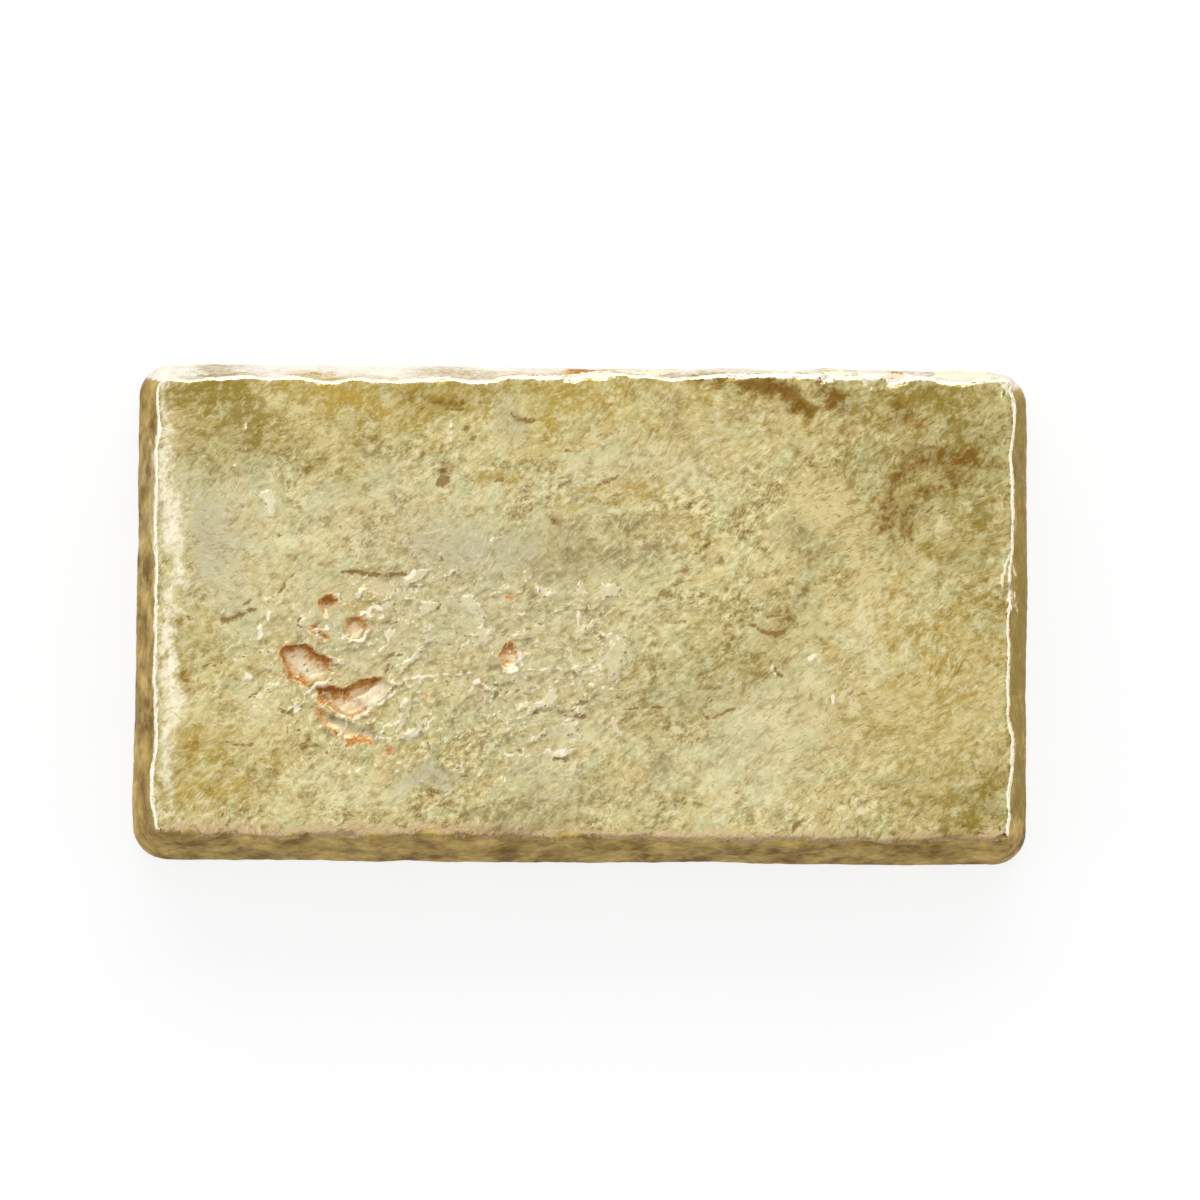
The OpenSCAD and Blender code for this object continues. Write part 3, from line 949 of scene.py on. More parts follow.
class FinishTree:
    """A material's node tree, built from expressions."""

    def __init__(self, name: str) -> None:
        """Makes an empty material.

        Args:
            name: The material's name.
        """
        self.material = bpy.data.materials.new(name)
        self.material.use_nodes = True
        self.tree = self.material.node_tree
        self.tree.nodes.clear()

    def node(
        self, kind: str, settings: dict[str, object], sockets: dict[object, object], output: object = 0
    ) -> Signal:
        """Adds one node.

        Args:
            kind: The node's type.
            settings: Its settings, which are set first.
            sockets: Values, colours or signals for its inputs, by name or place.
            output: Name or place of the output to hand on.

        Returns:
            That output.
        """
        made = self.tree.nodes.new(kind)
        for name, value in settings.items():
            setattr(made, name, value)
        for key, value in sockets.items():
            socket = made.inputs[key]
            if isinstance(value, Signal):
                self.tree.links.new(value.socket, socket)
            elif socket.type == "RGBA":
                socket.default_value = (*value, 1.0)
            else:
                socket.default_value = value
        return Signal(self, made.outputs[output])

    def mask(self, name: str) -> Signal:
        """Reads a vertex mask of the mesh."""
        return self.node("ShaderNodeAttribute", {"attribute_name": name}, {}, "Fac")

    def blend(self, share: object, under: object, over: object) -> Signal:
        """Lays one colour over another.

        Args:
            share: How much of the upper colour shows.
            under: The lower colour.
            over: The upper colour.

        Returns:
            The mixed colour.
        """
        return self.node("ShaderNodeMix", {"data_type": "RGBA"}, {0: share, 6: under, 7: over}, 2)

    def noise(self, places: Signal, turn: float, size: Point, detail: float, output: str = "Fac") -> Signal:
        """Smooth noise with a mean of 0.5.

        Args:
            places: Coordinates in millimetres.
            turn: Degrees that its lumps are turned about Z.
            size: Size of its lumps along each turned axis.
            detail: How many finer layers it has.
            output: Fac for one value, Color for three.

        Returns:
            The noise.
        """
        settings = {"Vector": places, "Rotation": (0.0, 0.0, math.radians(turn)), "Scale": size}
        placed = self.node("ShaderNodeMapping", {"vector_type": "TEXTURE"}, settings)
        sockets = {"Vector": placed, "Scale": 1.0, "Detail": detail, "Roughness": FINER_SHARE}
        return self.node("ShaderNodeTexNoise", {}, sockets, output)

    def shift(self, places: Signal, by: Signal, reach: float) -> Signal:
        """Moves coordinates by a noise.

        Args:
            places: Coordinates in millimetres.
            by: A noise of three values with a mean of 0.5.
            reach: How far the noise's whole range moves them.

        Returns:
            The moved coordinates.
        """
        sockets = {0: by, 1: (reach, reach, reach), 2: places}
        return self.node("ShaderNodeVectorMath", {"operation": "MULTIPLY_ADD"}, sockets)

    def finish(self, surface: Signal) -> bpy.types.Material:
        """Connects the surface to the output.

        Args:
            surface: The shader that the material shows.

        Returns:
            The material.
        """
        made = self.tree.nodes.new("ShaderNodeOutputMaterial")
        self.tree.links.new(surface.socket, made.inputs["Surface"])
        return self.material


class CastSkin:
    """The noises that colour and relief of the cast skin share."""

    def __init__(self, tree: FinishTree) -> None:
        """Adds the noises, from the broadest to the finest.

        Args:
            tree: The finish that they are for.
        """
        metres = tree.node("ShaderNodeTexCoord", {}, {}, "Object")
        places = tree.node("ShaderNodeVectorMath", {"operation": "SCALE"}, {0: metres, "Scale": 1 / MM})
        swirl = tree.noise(places, 0, (9.0, 8.0, 9.0), 0.0, "Color")
        bend = tree.noise(places, 0, (1.6, 1.6, 1.6), 1.0, "Color")
        brushed = tree.shift(tree.shift(places, bend, 0.5), swirl, 7.0)
        places = tree.shift(places, bend, 0.7)
        swirled = tree.shift(places, swirl, 12.0)
        self.clouds = tree.noise(swirled, 0, (7.0, 5.0, 5.0), 1.0)
        self.flow = tree.noise(swirled, 30, (6.0, 2.2, 2.4), 1.0)
        self.mottle = tree.noise(places, 30, (1.9, 1.4, 1.4), 3.0)
        self.blotch = tree.noise(places, 35, (0.80, 0.48, 0.6), 2.0)
        self.hair = tree.noise(brushed, 37, (1.00, 0.19, 0.4), 1.0)
        self.cross = tree.noise(brushed, -30, (0.90, 0.19, 0.4), 1.0)
        self.speck = tree.noise(places, 50, (0.34, 0.26, 0.3), 1.0)
        self.grit = tree.noise(places, 60, (0.17, 0.15, 0.2), 0.0)
        self.wash = tree.noise(places, 0, (2.8, 2.8, 5.0), 2.0)
        self.plates = self.mottle.terrace(0.03)
        self.scales = self.blotch.terrace(0.05)
        self.clump = self.mottle + 1.2 * self.blotch + 0.9 * self.speck - 1.05
        self.ragged = 0.8 * self.mottle + 0.6 * self.blotch + 0.5 * self.speck - 0.95

    def torn(self, mask: Signal, reach: float) -> Signal:
        """Makes a mask's edge ragged, and leaves it 0 where it is 0.

        Args:
            mask: A vertex mask.
            reach: How far the noise moves its edge.

        Returns:
            The mask with the noise in it.
        """
        return mask + reach * self.ragged * mask.step(0.0, 0.25)


@dataclass(frozen=True)
class CastMetal:
    """Tarnished cast metal, brown on its walls, with painted highlights along its edges, rubbed metal in its
    chips and a painted white glare on its far wall.

    Attributes:
        deep: Darkest khaki of the bare face.
        cream: Its palest plates.
        cool: Its greener drifts.
        warm: Its warmer drifts.
        stroke: Fine brown strokes, flecks and cracks, and the painted shade beside flakes and curled edges.
        fleck: Fine pale strokes and scales.
        wall: Pale brown of the walls.
        wall_deep: Dark brown of the walls.
        dusk: Pinkish border of the near wall.
        far_glare: Painted glare: the white of the far wall, where the far lamp would blow it out.
        far_glare_shade: The darker patches in that painted glare.
        rust: Rust in the pits.
        rust_deep: The darkest rust.
        blush: The border of the rust.
        floor: Floors of the pits.
        bright: Painted highlights along the edges, on curled lips, ridges and bubble rings, and rubbed metal
            in the chips.
        grazing: Tint of the reflection.
        line_share: How strongly the brown strokes show.
        light_share: How strongly the pale strokes show.
        crack_and_shade_share: How strongly the cracks and the painted shade beside flakes and curled edges
            show.
        rub_and_highlight_share: How strongly the painted edge highlights and the rubbed chips show.
        glint_share: How strongly the painted glints on curled lips, ridges, bubble rings and flake edges
            show.
        rough: Roughness of the bare face.
        metal: How metallic the bare face is.
        reflection: Strength of the tinted reflection.
        dimple: Height of the mottling in millimetres.
        grain: Height of the blotches in millimetres.
    """

    deep: Colour = linear("866e32")
    cream: Colour = linear("ece0a4")
    cool: Colour = linear("c0c08e")
    warm: Colour = linear("d6c286")
    stroke: Colour = linear("846226")
    fleck: Colour = linear("f0e8c4")
    wall: Colour = linear("dcc074")
    wall_deep: Colour = linear("76561c")
    dusk: Colour = linear("d0ae8c")
    far_glare: Colour = linear("fdfaf4")
    far_glare_shade: Colour = linear("efe8da")
    rust: Colour = linear("cc944e")
    rust_deep: Colour = linear("a4682e")
    blush: Colour = linear("e6c190")
    floor: Colour = linear("f8e9c4")
    bright: Colour = linear("fff5da")
    grazing: Colour = (0.80, 0.62, 0.32)
    line_share: float = 0.42
    light_share: float = 0.40
    crack_and_shade_share: float = 0.8
    rub_and_highlight_share: float = 0.9
    glint_share: float = 0.8
    rough: float = 0.44
    metal: float = 0.62
    reflection: float = 0.25
    dimple: float = 0.06
    grain: float = 0.035

    def ground(self, tree: FinishTree, skin: CastSkin) -> Signal:
        """Colours the bare face in khaki and cream plates, with cool and warm drifts.

        Args:
            tree: The finish.
            skin: Its noises.

        Returns:
            The colour.
        """
        fine = 0.22 * skin.scales + 0.5 * skin.blotch + 0.6 * skin.speck + 0.5 * skin.grit - 0.91
        value = 0.4 * skin.clouds + 0.3 * skin.flow + 0.4 * skin.mottle + 0.2 * skin.plates
        value = value + fine * (1.48 - 0.85 * skin.clouds.step(0.38, 0.60) - 0.30 * tree.mask("brushed"))
        colour = tree.blend(value - 0.03, self.deep, self.cream)
        colour = tree.blend(0.5 * skin.flow.step(0.50, 0.66), colour, self.cool)
        colour = tree.blend(0.5 * skin.flow.step(0.48, 0.34), colour, self.warm)
        flecks = skin.blotch.step(0.46, 0.34) * (0.2 + skin.mottle.step(0.60, 0.40))
        colour = tree.blend(0.45 * flecks, colour, self.stroke)
        return tree.blend(0.45 * skin.blotch.step(0.56, 0.66), colour, self.fleck)

    def walls(self, tree: FinishTree, skin: CastSkin, colour: Signal) -> Signal:
        """Lays brown on the walls, and a painted white glare on the far one.

        Args:
            tree: The finish.
            skin: Its noises.
            colour: The colour so far.

        Returns:
            The new colour.
        """
        value = 2.2 * skin.wash + skin.mottle + 0.8 * skin.blotch - 1.55
        brown = tree.blend(value, self.wall_deep, self.wall)
        # Painted glare: the far wall is painted white, with darker patches
        pale = tree.blend(skin.wash.step(0.28, 0.38), self.far_glare_shade, self.far_glare)
        far = (tree.mask("far") + 0.6 * skin.clouds - 0.3).step(0.3, 0.7)
        spill = skin.torn(tree.mask("spill"), 1.6)
        colour = tree.blend(0.75 * spill.step(0.15, 0.65), colour, self.dusk)
        share = tree.mask("wall") + spill.step(0.70, 1.0)
        return tree.blend(share, colour, tree.blend(far, brown, pale))

    def tarnish(self, tree: FinishTree, skin: CastSkin, colour: Signal) -> Signal:
        """Lays the stains and the painted sheen by the left edge on, each as a drifting veil with clumps in
        it.

        Args:
            tree: The finish.
            skin: Its noises.
            colour: The colour so far.

        Returns:
            The new colour.
        """
        for tone in Tone:
            mask = tree.mask(tone.mask)
            grain = skin.clump if tone.pale else 1 - skin.clump
            drift = 0.10 + 0.75 * skin.flow if tone.pale else 0.95 - 0.75 * skin.flow
            clumps = (0.5 * mask + grain).step(0.60, 1.20) * mask.step(0.0, 0.3)
            colour = tree.blend(mask * drift + 0.45 * clumps, colour, tone.colour)
        return colour

    def rusted(self, tree: FinishTree, skin: CastSkin, colour: Signal) -> tuple[Signal, Signal]:
        """Lays pale floors and rusty walls into the pits.

        Args:
            tree: The finish.
            skin: Its noises.
            colour: The colour so far.

        Returns:
            The new colour and how rusty each place is.
        """
        rust = skin.torn(tree.mask(Line.RUST.mask), 1.7)
        floor = tree.mask("floor")
        colour = tree.blend(floor * (1.3 - 0.8 * skin.clump), colour, self.floor)
        colour = tree.blend(0.5 * floor * skin.hair.step(0.50, 0.36), colour, self.blush)
        colour = tree.blend(0.75 * rust.step(0.06, 0.40), colour, self.blush)
        colour = tree.blend(0.9 * rust.step(0.34, 0.64), colour, self.rust)
        return tree.blend(0.9 * rust.step(0.60, 0.95), colour, self.rust_deep), rust.step(0.38, 0.66)

    def material(self) -> bpy.types.Material:
        """Builds the finish.

        Returns:
            The material.
        """
        tree = FinishTree("cast_metal")
        skin = CastSkin(tree)
        wall = tree.mask("wall")
        dark = tree.mask(Tone.OLIVE.mask) + tree.mask(Tone.BROWN.mask) + tree.mask(Tone.ORANGE.mask)
        dense = 0.3 + 0.5 * skin.flow.step(0.62, 0.38) + 0.5 * tree.mask("brushed")
        lines = skin.hair.step(0.40, 0.28) * (dense + dark)
        lines = lines + skin.cross.step(0.38, 0.28) * skin.mottle.step(0.46, 0.60)
        light = skin.hair.step(0.60, 0.72) + skin.cross.step(0.62, 0.72) * skin.mottle.step(0.56, 0.44)

        colour = self.tarnish(tree, skin, self.walls(tree, skin, self.ground(tree, skin)))
        colour = tree.blend(self.light_share * light * (1 - wall - dark), colour, self.fleck)
        colour = tree.blend(self.line_share * lines, colour, self.stroke)
        scale = skin.torn(tree.mask("flake"), 1.2)
        flake = scale.step(0.44, 0.54)
        colour = tree.blend(flake * tree.mask("pale") * (1.20 - 1.2 * skin.clump), colour, self.fleck)
        colour, rusted = self.rusted(tree, skin, colour)
        # Cracks, and the painted shade beside flakes and curled edges
        crack = skin.torn(tree.mask(Line.CRACK.mask), 1.4).step(0.40, 0.70)
        colour = tree.blend(self.crack_and_shade_share * crack, colour, self.stroke)
        # Painted highlights along the edges and down the far wall, and rubbed metal in the chips
        rub_and_highlight = skin.torn(tree.mask("rub_and_highlight"), 1.4).step(0.38, 0.58)
        colour = tree.blend(self.rub_and_highlight_share * rub_and_highlight, colour, self.bright)
        # Painted glints on curled lips, ridges, bubble rings and the lit edges of flakes
        glint = skin.torn(tree.mask(Line.GLINT.mask), 1.2).step(0.42, 0.68)
        glint = glint + tree.mask("shine") * scale.ridge(0.48, 0.10)
        colour = tree.blend(self.glint_share * glint, colour, self.bright)

        roughness = self.rough + 0.16 * rusted + 0.10 * wall - 0.12 * rub_and_highlight + 0.3 * (skin.grit - 0.5)
        metallic = self.metal - 0.42 * rusted - 0.2 * wall - 0.3 * tree.mask("floor")
        height = self.dimple * skin.mottle + self.grain * skin.blotch
        bump = tree.node("ShaderNodeBump", {}, {"Strength": 1.0, "Distance": MM, "Height": height})
        surface = tree.node(
            "ShaderNodeBsdfPrincipled", {},
            {
                "Base Color": colour, "Roughness": roughness, "Metallic": metallic, "Normal": bump,
                "Specular IOR Level": self.reflection, "Specular Tint": self.grazing,
            },
        )
        return tree.finish(surface)


@dataclass
class IngotCasting:
    """The cast block: its sizes in millimetres, its relief and its finish.

    Attributes:
        length: Length over the rim.
        width: Width over the rim.
        height: Height from the foot to the face.
        draft: Lean of the walls in degrees.
        face_corner: Plan radius of the face's corners.
        face_edge: Radius rolled along the face's edge.
        rim: Radius of the rim round the foot.
        cells: Squares of the mesh along and across the face.
        corner_cells: Squares on each side of a corner.
        edge_rings: Rings of squares over the face's edge.
        wall_rings: Rings of squares down the walls.
        rim_rings: Rings of squares round the rim.
        hollow: Length, width and depth of the shrink hollow in the foot.
        focus: Shares along and across the face round which the squares are smallest.
        gather: How much smaller they are there, and larger on the other side.
        map_side: Side of the square that the skin is laid out in for its maps.
        face_at: Place of the face's middle in that square.
        foot_at: Place of the foot's middle in it.
        foot_scale: Scale of the foot in it, against the face and the walls.
        walls_at: Places of the first corners of the near, right, far and left walls in it.
        eye: Place of the eye that the chips are placed for.
        ridge: Height of the wrinkles round the pits.
        calm: Share of them that is left far from the pits.
        ragged_reach: How far the outlines of the marks wander.
        drift_reach: How far the stains wander.
        fray_reach: How far the edges of the smears wander.
        run_out: How far the rim runs out at its worst place.
        wall_wave: How far the walls wave.
        foot_relief: Share of the relief that the foot has.
        edge_sway: How far the edges of the face wander, and how far in the right one lies.
        far_shift: How far out the right part of the far edge lies.
        nibble_depth: Depth of the nibbles in the edges.
        relief_room: How far the relief may rise above the face.
        highlight_tilt: Tilt of the edge's round at which its painted highlight is strongest.
        near_highlight: Strength of the painted highlight on the near edge, which faces away from the far
            lamp, against the other three.
        far_side_highlight: Strength of the painted highlight down the far wall.
        places: Points of the skin.
        ways: The way that the smooth skin faces at each point.
        tilt: Degrees that it is tilted there from level.
        outward: The way out from the core in plan, 1 long on the border.
        faces: Point numbers of the squares and triangles.
    """

    length: float
    width: float
    height: float
    draft: float = 12.5
    face_corner: float = 1.2
    face_edge: float = 0.6
    rim: float = 0.8
    cells: tuple[int, int] = (332, 176)
    corner_cells: int = 4
    edge_rings: int = 5
    wall_rings: int = 15
    rim_rings: int = 6
    hollow: Point = (62.0, 30.0, 0.4)
    focus: Spot = (0.36, 0.42)
    gather: float = 0.33
    map_side: float = 92.0
    face_at: Spot = (38.9, 21.2)
    foot_at: Spot = (24.5, 78.7)
    foot_scale: float = 0.6
    walls_at: tuple[Spot, ...] = ((0.5, 43.0), (81.5, 0.5), (0.5, 54.0), (81.5, 46.0))
    eye: Point = (-20.0, -33.0, 600.0)
    ridge: float = 0.08
    calm: float = 0.15
    ragged_reach: float = 0.24
    drift_reach: float = 2.2
    fray_reach: float = 0.5
    run_out: float = 0.30
    wall_wave: float = 0.12
    foot_relief: float = 0.4
    edge_sway: float = 0.32
    far_shift: float = 0.65
    nibble_depth: float = 0.35
    relief_room: float = 0.4
    highlight_tilt: float = 38.0
    near_highlight: float = 0.2
    far_side_highlight: float = 0.2
    places: Array = field(init=False)
    ways: Array = field(init=False)
    tilt: Array = field(init=False)
    outward: Array = field(init=False)
    faces: list[tuple[int, ...]] = field(init=False, default_factory=list)

    def __post_init__(self) -> None:
        """Works out the core that every ring is offset from."""
        lean = math.radians(self.draft)
        self.rim_tangent = self.rim / math.tan((math.pi / 2 - lean) / 2)
        self.face_tangent = self.face_edge / math.tan((math.pi / 2 + lean) / 2)
        self.foot_corner = self.face_corner + self.height * math.tan(lean)
        loss = self.rim_tangent - self.rim
        self.core = np.array([
            self.length / 2 + loss - self.foot_corner,
            self.width / 2 + loss - self.foot_corner,
        ])
        self.flat = self.face_corner - self.face_tangent

    @classmethod
    def from_frame(cls, node: str) -> "IngotCasting":
        """Takes the overall sizes from a CAD node.

        Args:
            node: The node's name.

        Returns:
            A casting of that size.
        """
        low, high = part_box(node)
        return cls(*((high - low) / MM))

    def sheet(self, cells: tuple[int, int], corner: int) -> tuple[Array, Array]:
        """Lays out a grid with round corners in plan.

        Args:
            cells: Squares along and across.
            corner: Squares on each side of a corner.

        Returns:
            The core point and the offset way of each grid point, row by row.
        """
        points = []
        for count, half, focus in zip(cells, self.core, self.focus):
            index = np.arange(count + 1)
            inner = np.clip(index - corner, 0, count - 2 * corner) / (count - 2 * corner)
            wave = np.sin(math.tau * (inner - focus)) + math.sin(math.tau * focus)
            inner = inner - self.gather / math.tau * wave
            outer = (np.maximum(index - (count - corner), 0) - np.maximum(corner - index, 0)) / corner
            points.append((half * (2.0 * inner - 1.0), outer))
        (core_x, out_x), (core_y, out_y) = points
        core = np.stack(np.meshgrid(core_x, core_y), axis=-1).reshape(-1, 2)
        out = np.stack(np.meshgrid(out_x, out_y), axis=-1).reshape(-1, 2)
        far = np.abs(out).max(axis=1)
        near = np.abs(out).min(axis=1)
        angle = np.divide(near, far, out=np.zeros_like(far), where=far > 0) * math.pi / 4
        steep = np.abs(out[:, 1]) > np.abs(out[:, 0])
        way = np.column_stack([
            np.where(steep, np.sin(angle), np.cos(angle)),
            np.where(steep, np.cos(angle), np.sin(angle)),
        ])
        return core, way * far[:, None] * np.sign(out)

    @staticmethod
    def border(cells: tuple[int, int]) -> Array:
        """Numbers of a grid's border points.

        Args:
            cells: Squares along and across.

        Returns:
            The numbers, anticlockwise from the grid's first point.
        """
        wide, deep = cells
        row = wide + 1
        return np.concatenate([
            np.arange(wide),
            wide + row * np.arange(deep),
            row * deep + wide - np.arange(wide),
            row * (deep - np.arange(deep)),
        ])

    def section(self) -> list[Point]:
        """The wall's section below the flat face.

        Returns:
            Offset, height and tilt of each ring, from the face down.
        """
        steepest = 90.0 - self.draft
        rings = []
        for tilt in np.linspace(0.0, steepest, self.edge_rings + 1)[1:]:
            angle = math.radians(tilt)
            rings.append((
                self.flat + self.face_edge * math.sin(angle),
                self.height - self.face_edge * (1.0 - math.cos(angle)),
                tilt,
            ))
        round_rings = []
        for tilt in np.linspace(steepest, 180.0, self.rim_rings + 1):
            angle = math.radians(tilt)
            round_rings.append((
                self.foot_corner - self.rim_tangent + self.rim * math.sin(angle),
                self.rim * (1.0 + math.cos(angle)),
                tilt,
            ))
        upper, lower = np.array(rings[-1]), np.array(round_rings[0])
        for share in np.linspace(0.0, 1.0, self.wall_rings + 1)[1:-1]:
            rings.append(tuple(upper + share * (lower - upper)))
        return rings + round_rings

    def hollow_rise(self, plan: Array) -> Array:
        """Height of the shrink hollow over the foot.

        Args:
            plan: Places on the foot.

        Returns:
            Millimetres above the foot's level.
        """
        length, width, depth = self.hollow
        straight = (length - width) / 2
        past = np.maximum(np.abs(plan[:, 0]) - straight, 0.0)
        away = np.hypot(past, plan[:, 1]) / (width / 2)
        return depth * np.clip(1.0 - away**2, 0.0, 1.0)

    def inset(self, plan: Array) -> Array:
        """Distance in from the outline of the face.

        Args:
            plan: Places in plan.

        Returns:
            Millimetres, negative outside the outline.
        """
        past = np.abs(plan) - self.core
        outside = np.linalg.norm(np.maximum(past, 0.0), axis=1)
        return self.face_corner - outside - np.minimum(past.max(axis=1), 0.0)

    def nearest_side(self, plan: Array) -> Array:
        """The way in plan to the side that each place is nearest to.

        Args:
            plan: Places in plan.

        Returns:
            A way along X or Y for each place, 1 long.
        """
        past = np.abs(plan) - self.core
        endwise = past[:, 0] > past[:, 1]
        return np.column_stack([endwise, ~endwise]) * np.sign(plan)

    def lay_mesh(self) -> None:
        """Lays the smooth block: face, edge, walls, rim and foot as one closed skin."""
        core, way = self.sheet(self.cells, self.corner_cells)
        loop = self.border(self.cells)
        around = len(loop)
        top = core + self.flat * way
        places = [np.column_stack([top, np.full(len(top), self.height)])]
        tilts = [np.zeros(len(top))]
        outward = [way]
        wide = self.cells[0]
        for row, column in itertools.product(range(self.cells[1]), range(wide)):
            first = row * (wide + 1) + column
            self.faces.append((first, first + 1, first + wide + 2, first + wide + 1))
        last = loop
        count = len(top)
        for offset, height, tilt in self.section():
            plan = core[loop] + offset * way[loop]
            places.append(np.column_stack([plan, np.full(around, height)]))
            tilts.append(np.full(around, tilt))
            outward.append(way[loop])
            ring = count + np.arange(around)
            self.stitch(last, ring)
            last = ring
            count += around
        self.lay_foot(places, tilts, outward, last, count)
        self.places = np.concatenate(places)
        self.tilt = np.concatenate(tilts)
        self.outward = np.concatenate(outward)
        angle = np.radians(self.tilt)
        length = np.linalg.norm(self.outward, axis=1, keepdims=True)
        unit = np.divide(self.outward, length, out=np.zeros_like(self.outward), where=length > 0)
        self.ways = np.column_stack([unit * np.sin(angle)[:, None], np.cos(angle)])

    def stitch(self, upper: Array, lower: Array) -> None:
        """Joins two rings of as many points with squares."""
        after = np.roll(upper, -1), np.roll(lower, -1)
        self.faces.extend(zip(upper, lower, after[1], after[0]))

    def lay_foot(
        self, places: list[Array], tilts: list[Array], outward: list[Array], last: Array, count: int
    ) -> None:
        """Closes the foot with two coarsening rings and a coarse grid.

        Args:
            places: Point lists of the skin, which grow.
            tilts: Their tilts.
            outward: Their outward ways.
            last: Numbers of the rim's last ring.
            count: How many points there are.
        """
        for share, coarser in ((0.55, 2), (0.0, 4)):
            cells = (self.cells[0] // coarser, self.cells[1] // coarser)
            core, way = self.sheet(cells, max(self.corner_cells // coarser, 1))
            offset = self.flat + share * (self.foot_corner - self.rim_tangent - self.flat)
            loop = self.border(cells)
            keep = loop if share else np.arange(len(core))
            plan = core[keep] + offset * way[keep]
            places.append(np.column_stack([plan, self.hollow_rise(plan)]))
            tilts.append(np.full(len(plan), 180.0))
            outward.append(way[keep])
            ring = count + (np.arange(len(loop)) if share else loop)
            wide, narrow = last.reshape(-1, 2), ring
            for number, (a, b) in enumerate(wide):
                c = wide[(number + 1) % len(wide)][0]
                d, e = narrow[number], narrow[(number + 1) % len(narrow)]
                self.faces.extend([(a, d, b), (b, d, e), (b, e, c)])
            last = ring
            if not share:
                row = cells[0] + 1
                for j, i in itertools.product(range(cells[1]), range(cells[0])):
                    first = count + j * row + i
                    self.faces.append((first, first + row, first + row + 1, first + 1))
            count += len(plan)

    def unwrap(self) -> Array:
        """Lays the smooth skin out flat for its maps: face with edge, four walls and foot.

        Returns:
            A place from 0 to 1 for each corner of each face, in order.
        """
        rings = self.section()
        around = 2 * sum(self.cells)
        order = np.fromiter(itertools.chain.from_iterable(self.faces), int)
        upper = 4 * (self.cells[0] * self.cells[1] + self.edge_rings * around)
        lower = upper + 4 * (len(rings) - self.edge_rings) * around
        plan = self.places[:, :2]
        bend = np.radians(np.minimum(self.tilt, 90.0))[:, None]
        spread = plan + self.outward * self.face_edge * (bend - np.sin(bend))
        flat = np.empty((len(order), 2))
        flat[:upper] = spread[order[:upper]] + self.face_at
        flat[lower:] = self.foot_scale * plan[order[lower:]] + self.foot_at

        ring = self.places[order[upper + 1 : upper + 4 * around : 4]]
        ring = np.concatenate([ring, ring[:1]])
        along = np.concatenate([[0.0], np.cumsum(np.linalg.norm(np.diff(ring, axis=0), axis=1))])
        drops = np.linalg.norm(np.diff(np.array(rings)[self.edge_rings - 1 :, :2], axis=0), axis=1)
        down = np.concatenate([[0.0], np.cumsum(drops)])
        index = np.arange(around)
        level = np.arange(len(drops))
        run = np.stack([along[index], along[index], along[index + 1], along[index + 1]], axis=1)
        fall = np.stack([down[level], down[level + 1], down[level + 1], down[level]], axis=1)
        starts = np.cumsum([0, *self.cells, self.cells[0]])
        side = np.searchsorted(starts, index, side="right") - 1
        run = run - along[starts[side]][:, None]
        strip = np.empty((len(drops), around, 4, 2))
        strip[..., 0], strip[..., 1] = run[None], fall[:, None]
        strip[:, side % 2 == 1] = strip[:, side % 2 == 1][..., ::-1]
        strip += np.array(self.walls_at)[side][:, None]
        flat[upper:lower] = strip.reshape(-1, 2)
        return flat / self.map_side

    def press_marks(self, plan: Array, masks: dict[str, Array]) -> Array:
        """Presses pits, flakes, bubbles and creases into the face.

        Args:
            plan: Places on the face, made ragged.
            masks: Vertex masks by name, which are filled in.

        Returns:
            Height of the marks over the face.
        """
        rust, glint = masks[Line.RUST.mask], masks[Line.GLINT.mask]
        sink = np.zeros(len(plan))
        lift = np.zeros(len(plan))
        for pit in GAS_PITS:
            inside, steep = pit.survey(plan)
            wall = pit.shelf + (pit.cliff - pit.shelf) * steep
            sink = np.maximum(sink, pit.depth * smooth_step(0.0, 1.0, inside / wall))
            ramp = np.where(inside > 0, 1.0 - inside / pit.inner, 1.0 + inside / pit.outer)
            np.maximum(rust, pit.rust * steep * np.clip(ramp, 0.0, 1.0), out=rust)
            bottom = smooth_step(0.15, 0.8, inside) * min(pit.depth / 0.5, 1.0)
            np.maximum(masks["floor"], bottom, out=masks["floor"])
            # The shelving side faces the light, so its curled lip gets a painted highlight
            curl = (1.0 - steep) * np.exp(-(((inside + 0.10) / 0.16) ** 2))
            lift = np.maximum(lift, pit.lip * curl)
            np.maximum(glint, 8.0 * pit.lip * curl, out=glint)
        for flake in FLAKES:
            inside, shine = flake.survey(plan)
            # Painted light and shade: an edge that faces the light gets a painted highlight, and one that
            # faces away gets painted shade with the cracks
            rise = flake.survey(plan - LIGHT_WAY)[0] - inside
            facing = np.clip(rise / math.hypot(*LIGHT_WAY), -1.0, 1.0)
            edge = np.exp(-((inside / flake.line) ** 2))
            np.maximum(glint, edge * facing * (0.5 + 0.5 * shine), out=glint)
            np.maximum(masks[Line.CRACK.mask], -0.65 * edge * facing, out=masks[Line.CRACK.mask])
            cover = np.clip(0.5 + inside / 0.9, 0.0, 1.0)
            nearer = cover > masks["flake"]
            lift = np.maximum(lift, flake.lift * smooth_step(0.40, 0.62, cover))
            masks["pale"] = np.where(nearer, flake.pale, masks["pale"])
            masks["shine"] = np.where(nearer, shine, masks["shine"])
            masks["flake"] = np.maximum(masks["flake"], cover)
            rust *= 1.0 - 0.9 * smooth_step(0.4, 0.6, cover)
        for bubble in BUBBLES:
            ring = bubble.ring(plan)
            lift = np.maximum(lift, bubble.rim * ring)
            # Painted highlight on the raised ring
            np.maximum(glint, 7.0 * bubble.rim * ring, out=glint)
        for kind, crease in ((kind, crease) for kind in CREASES for crease in CREASES[kind]):
            cover = crease.cover(plan)
            lift -= crease.depth * smooth_step(0.1, 0.9, cover)
            np.maximum(masks[kind.mask], crease.strength * cover, out=masks[kind.mask])
        return lift - sink

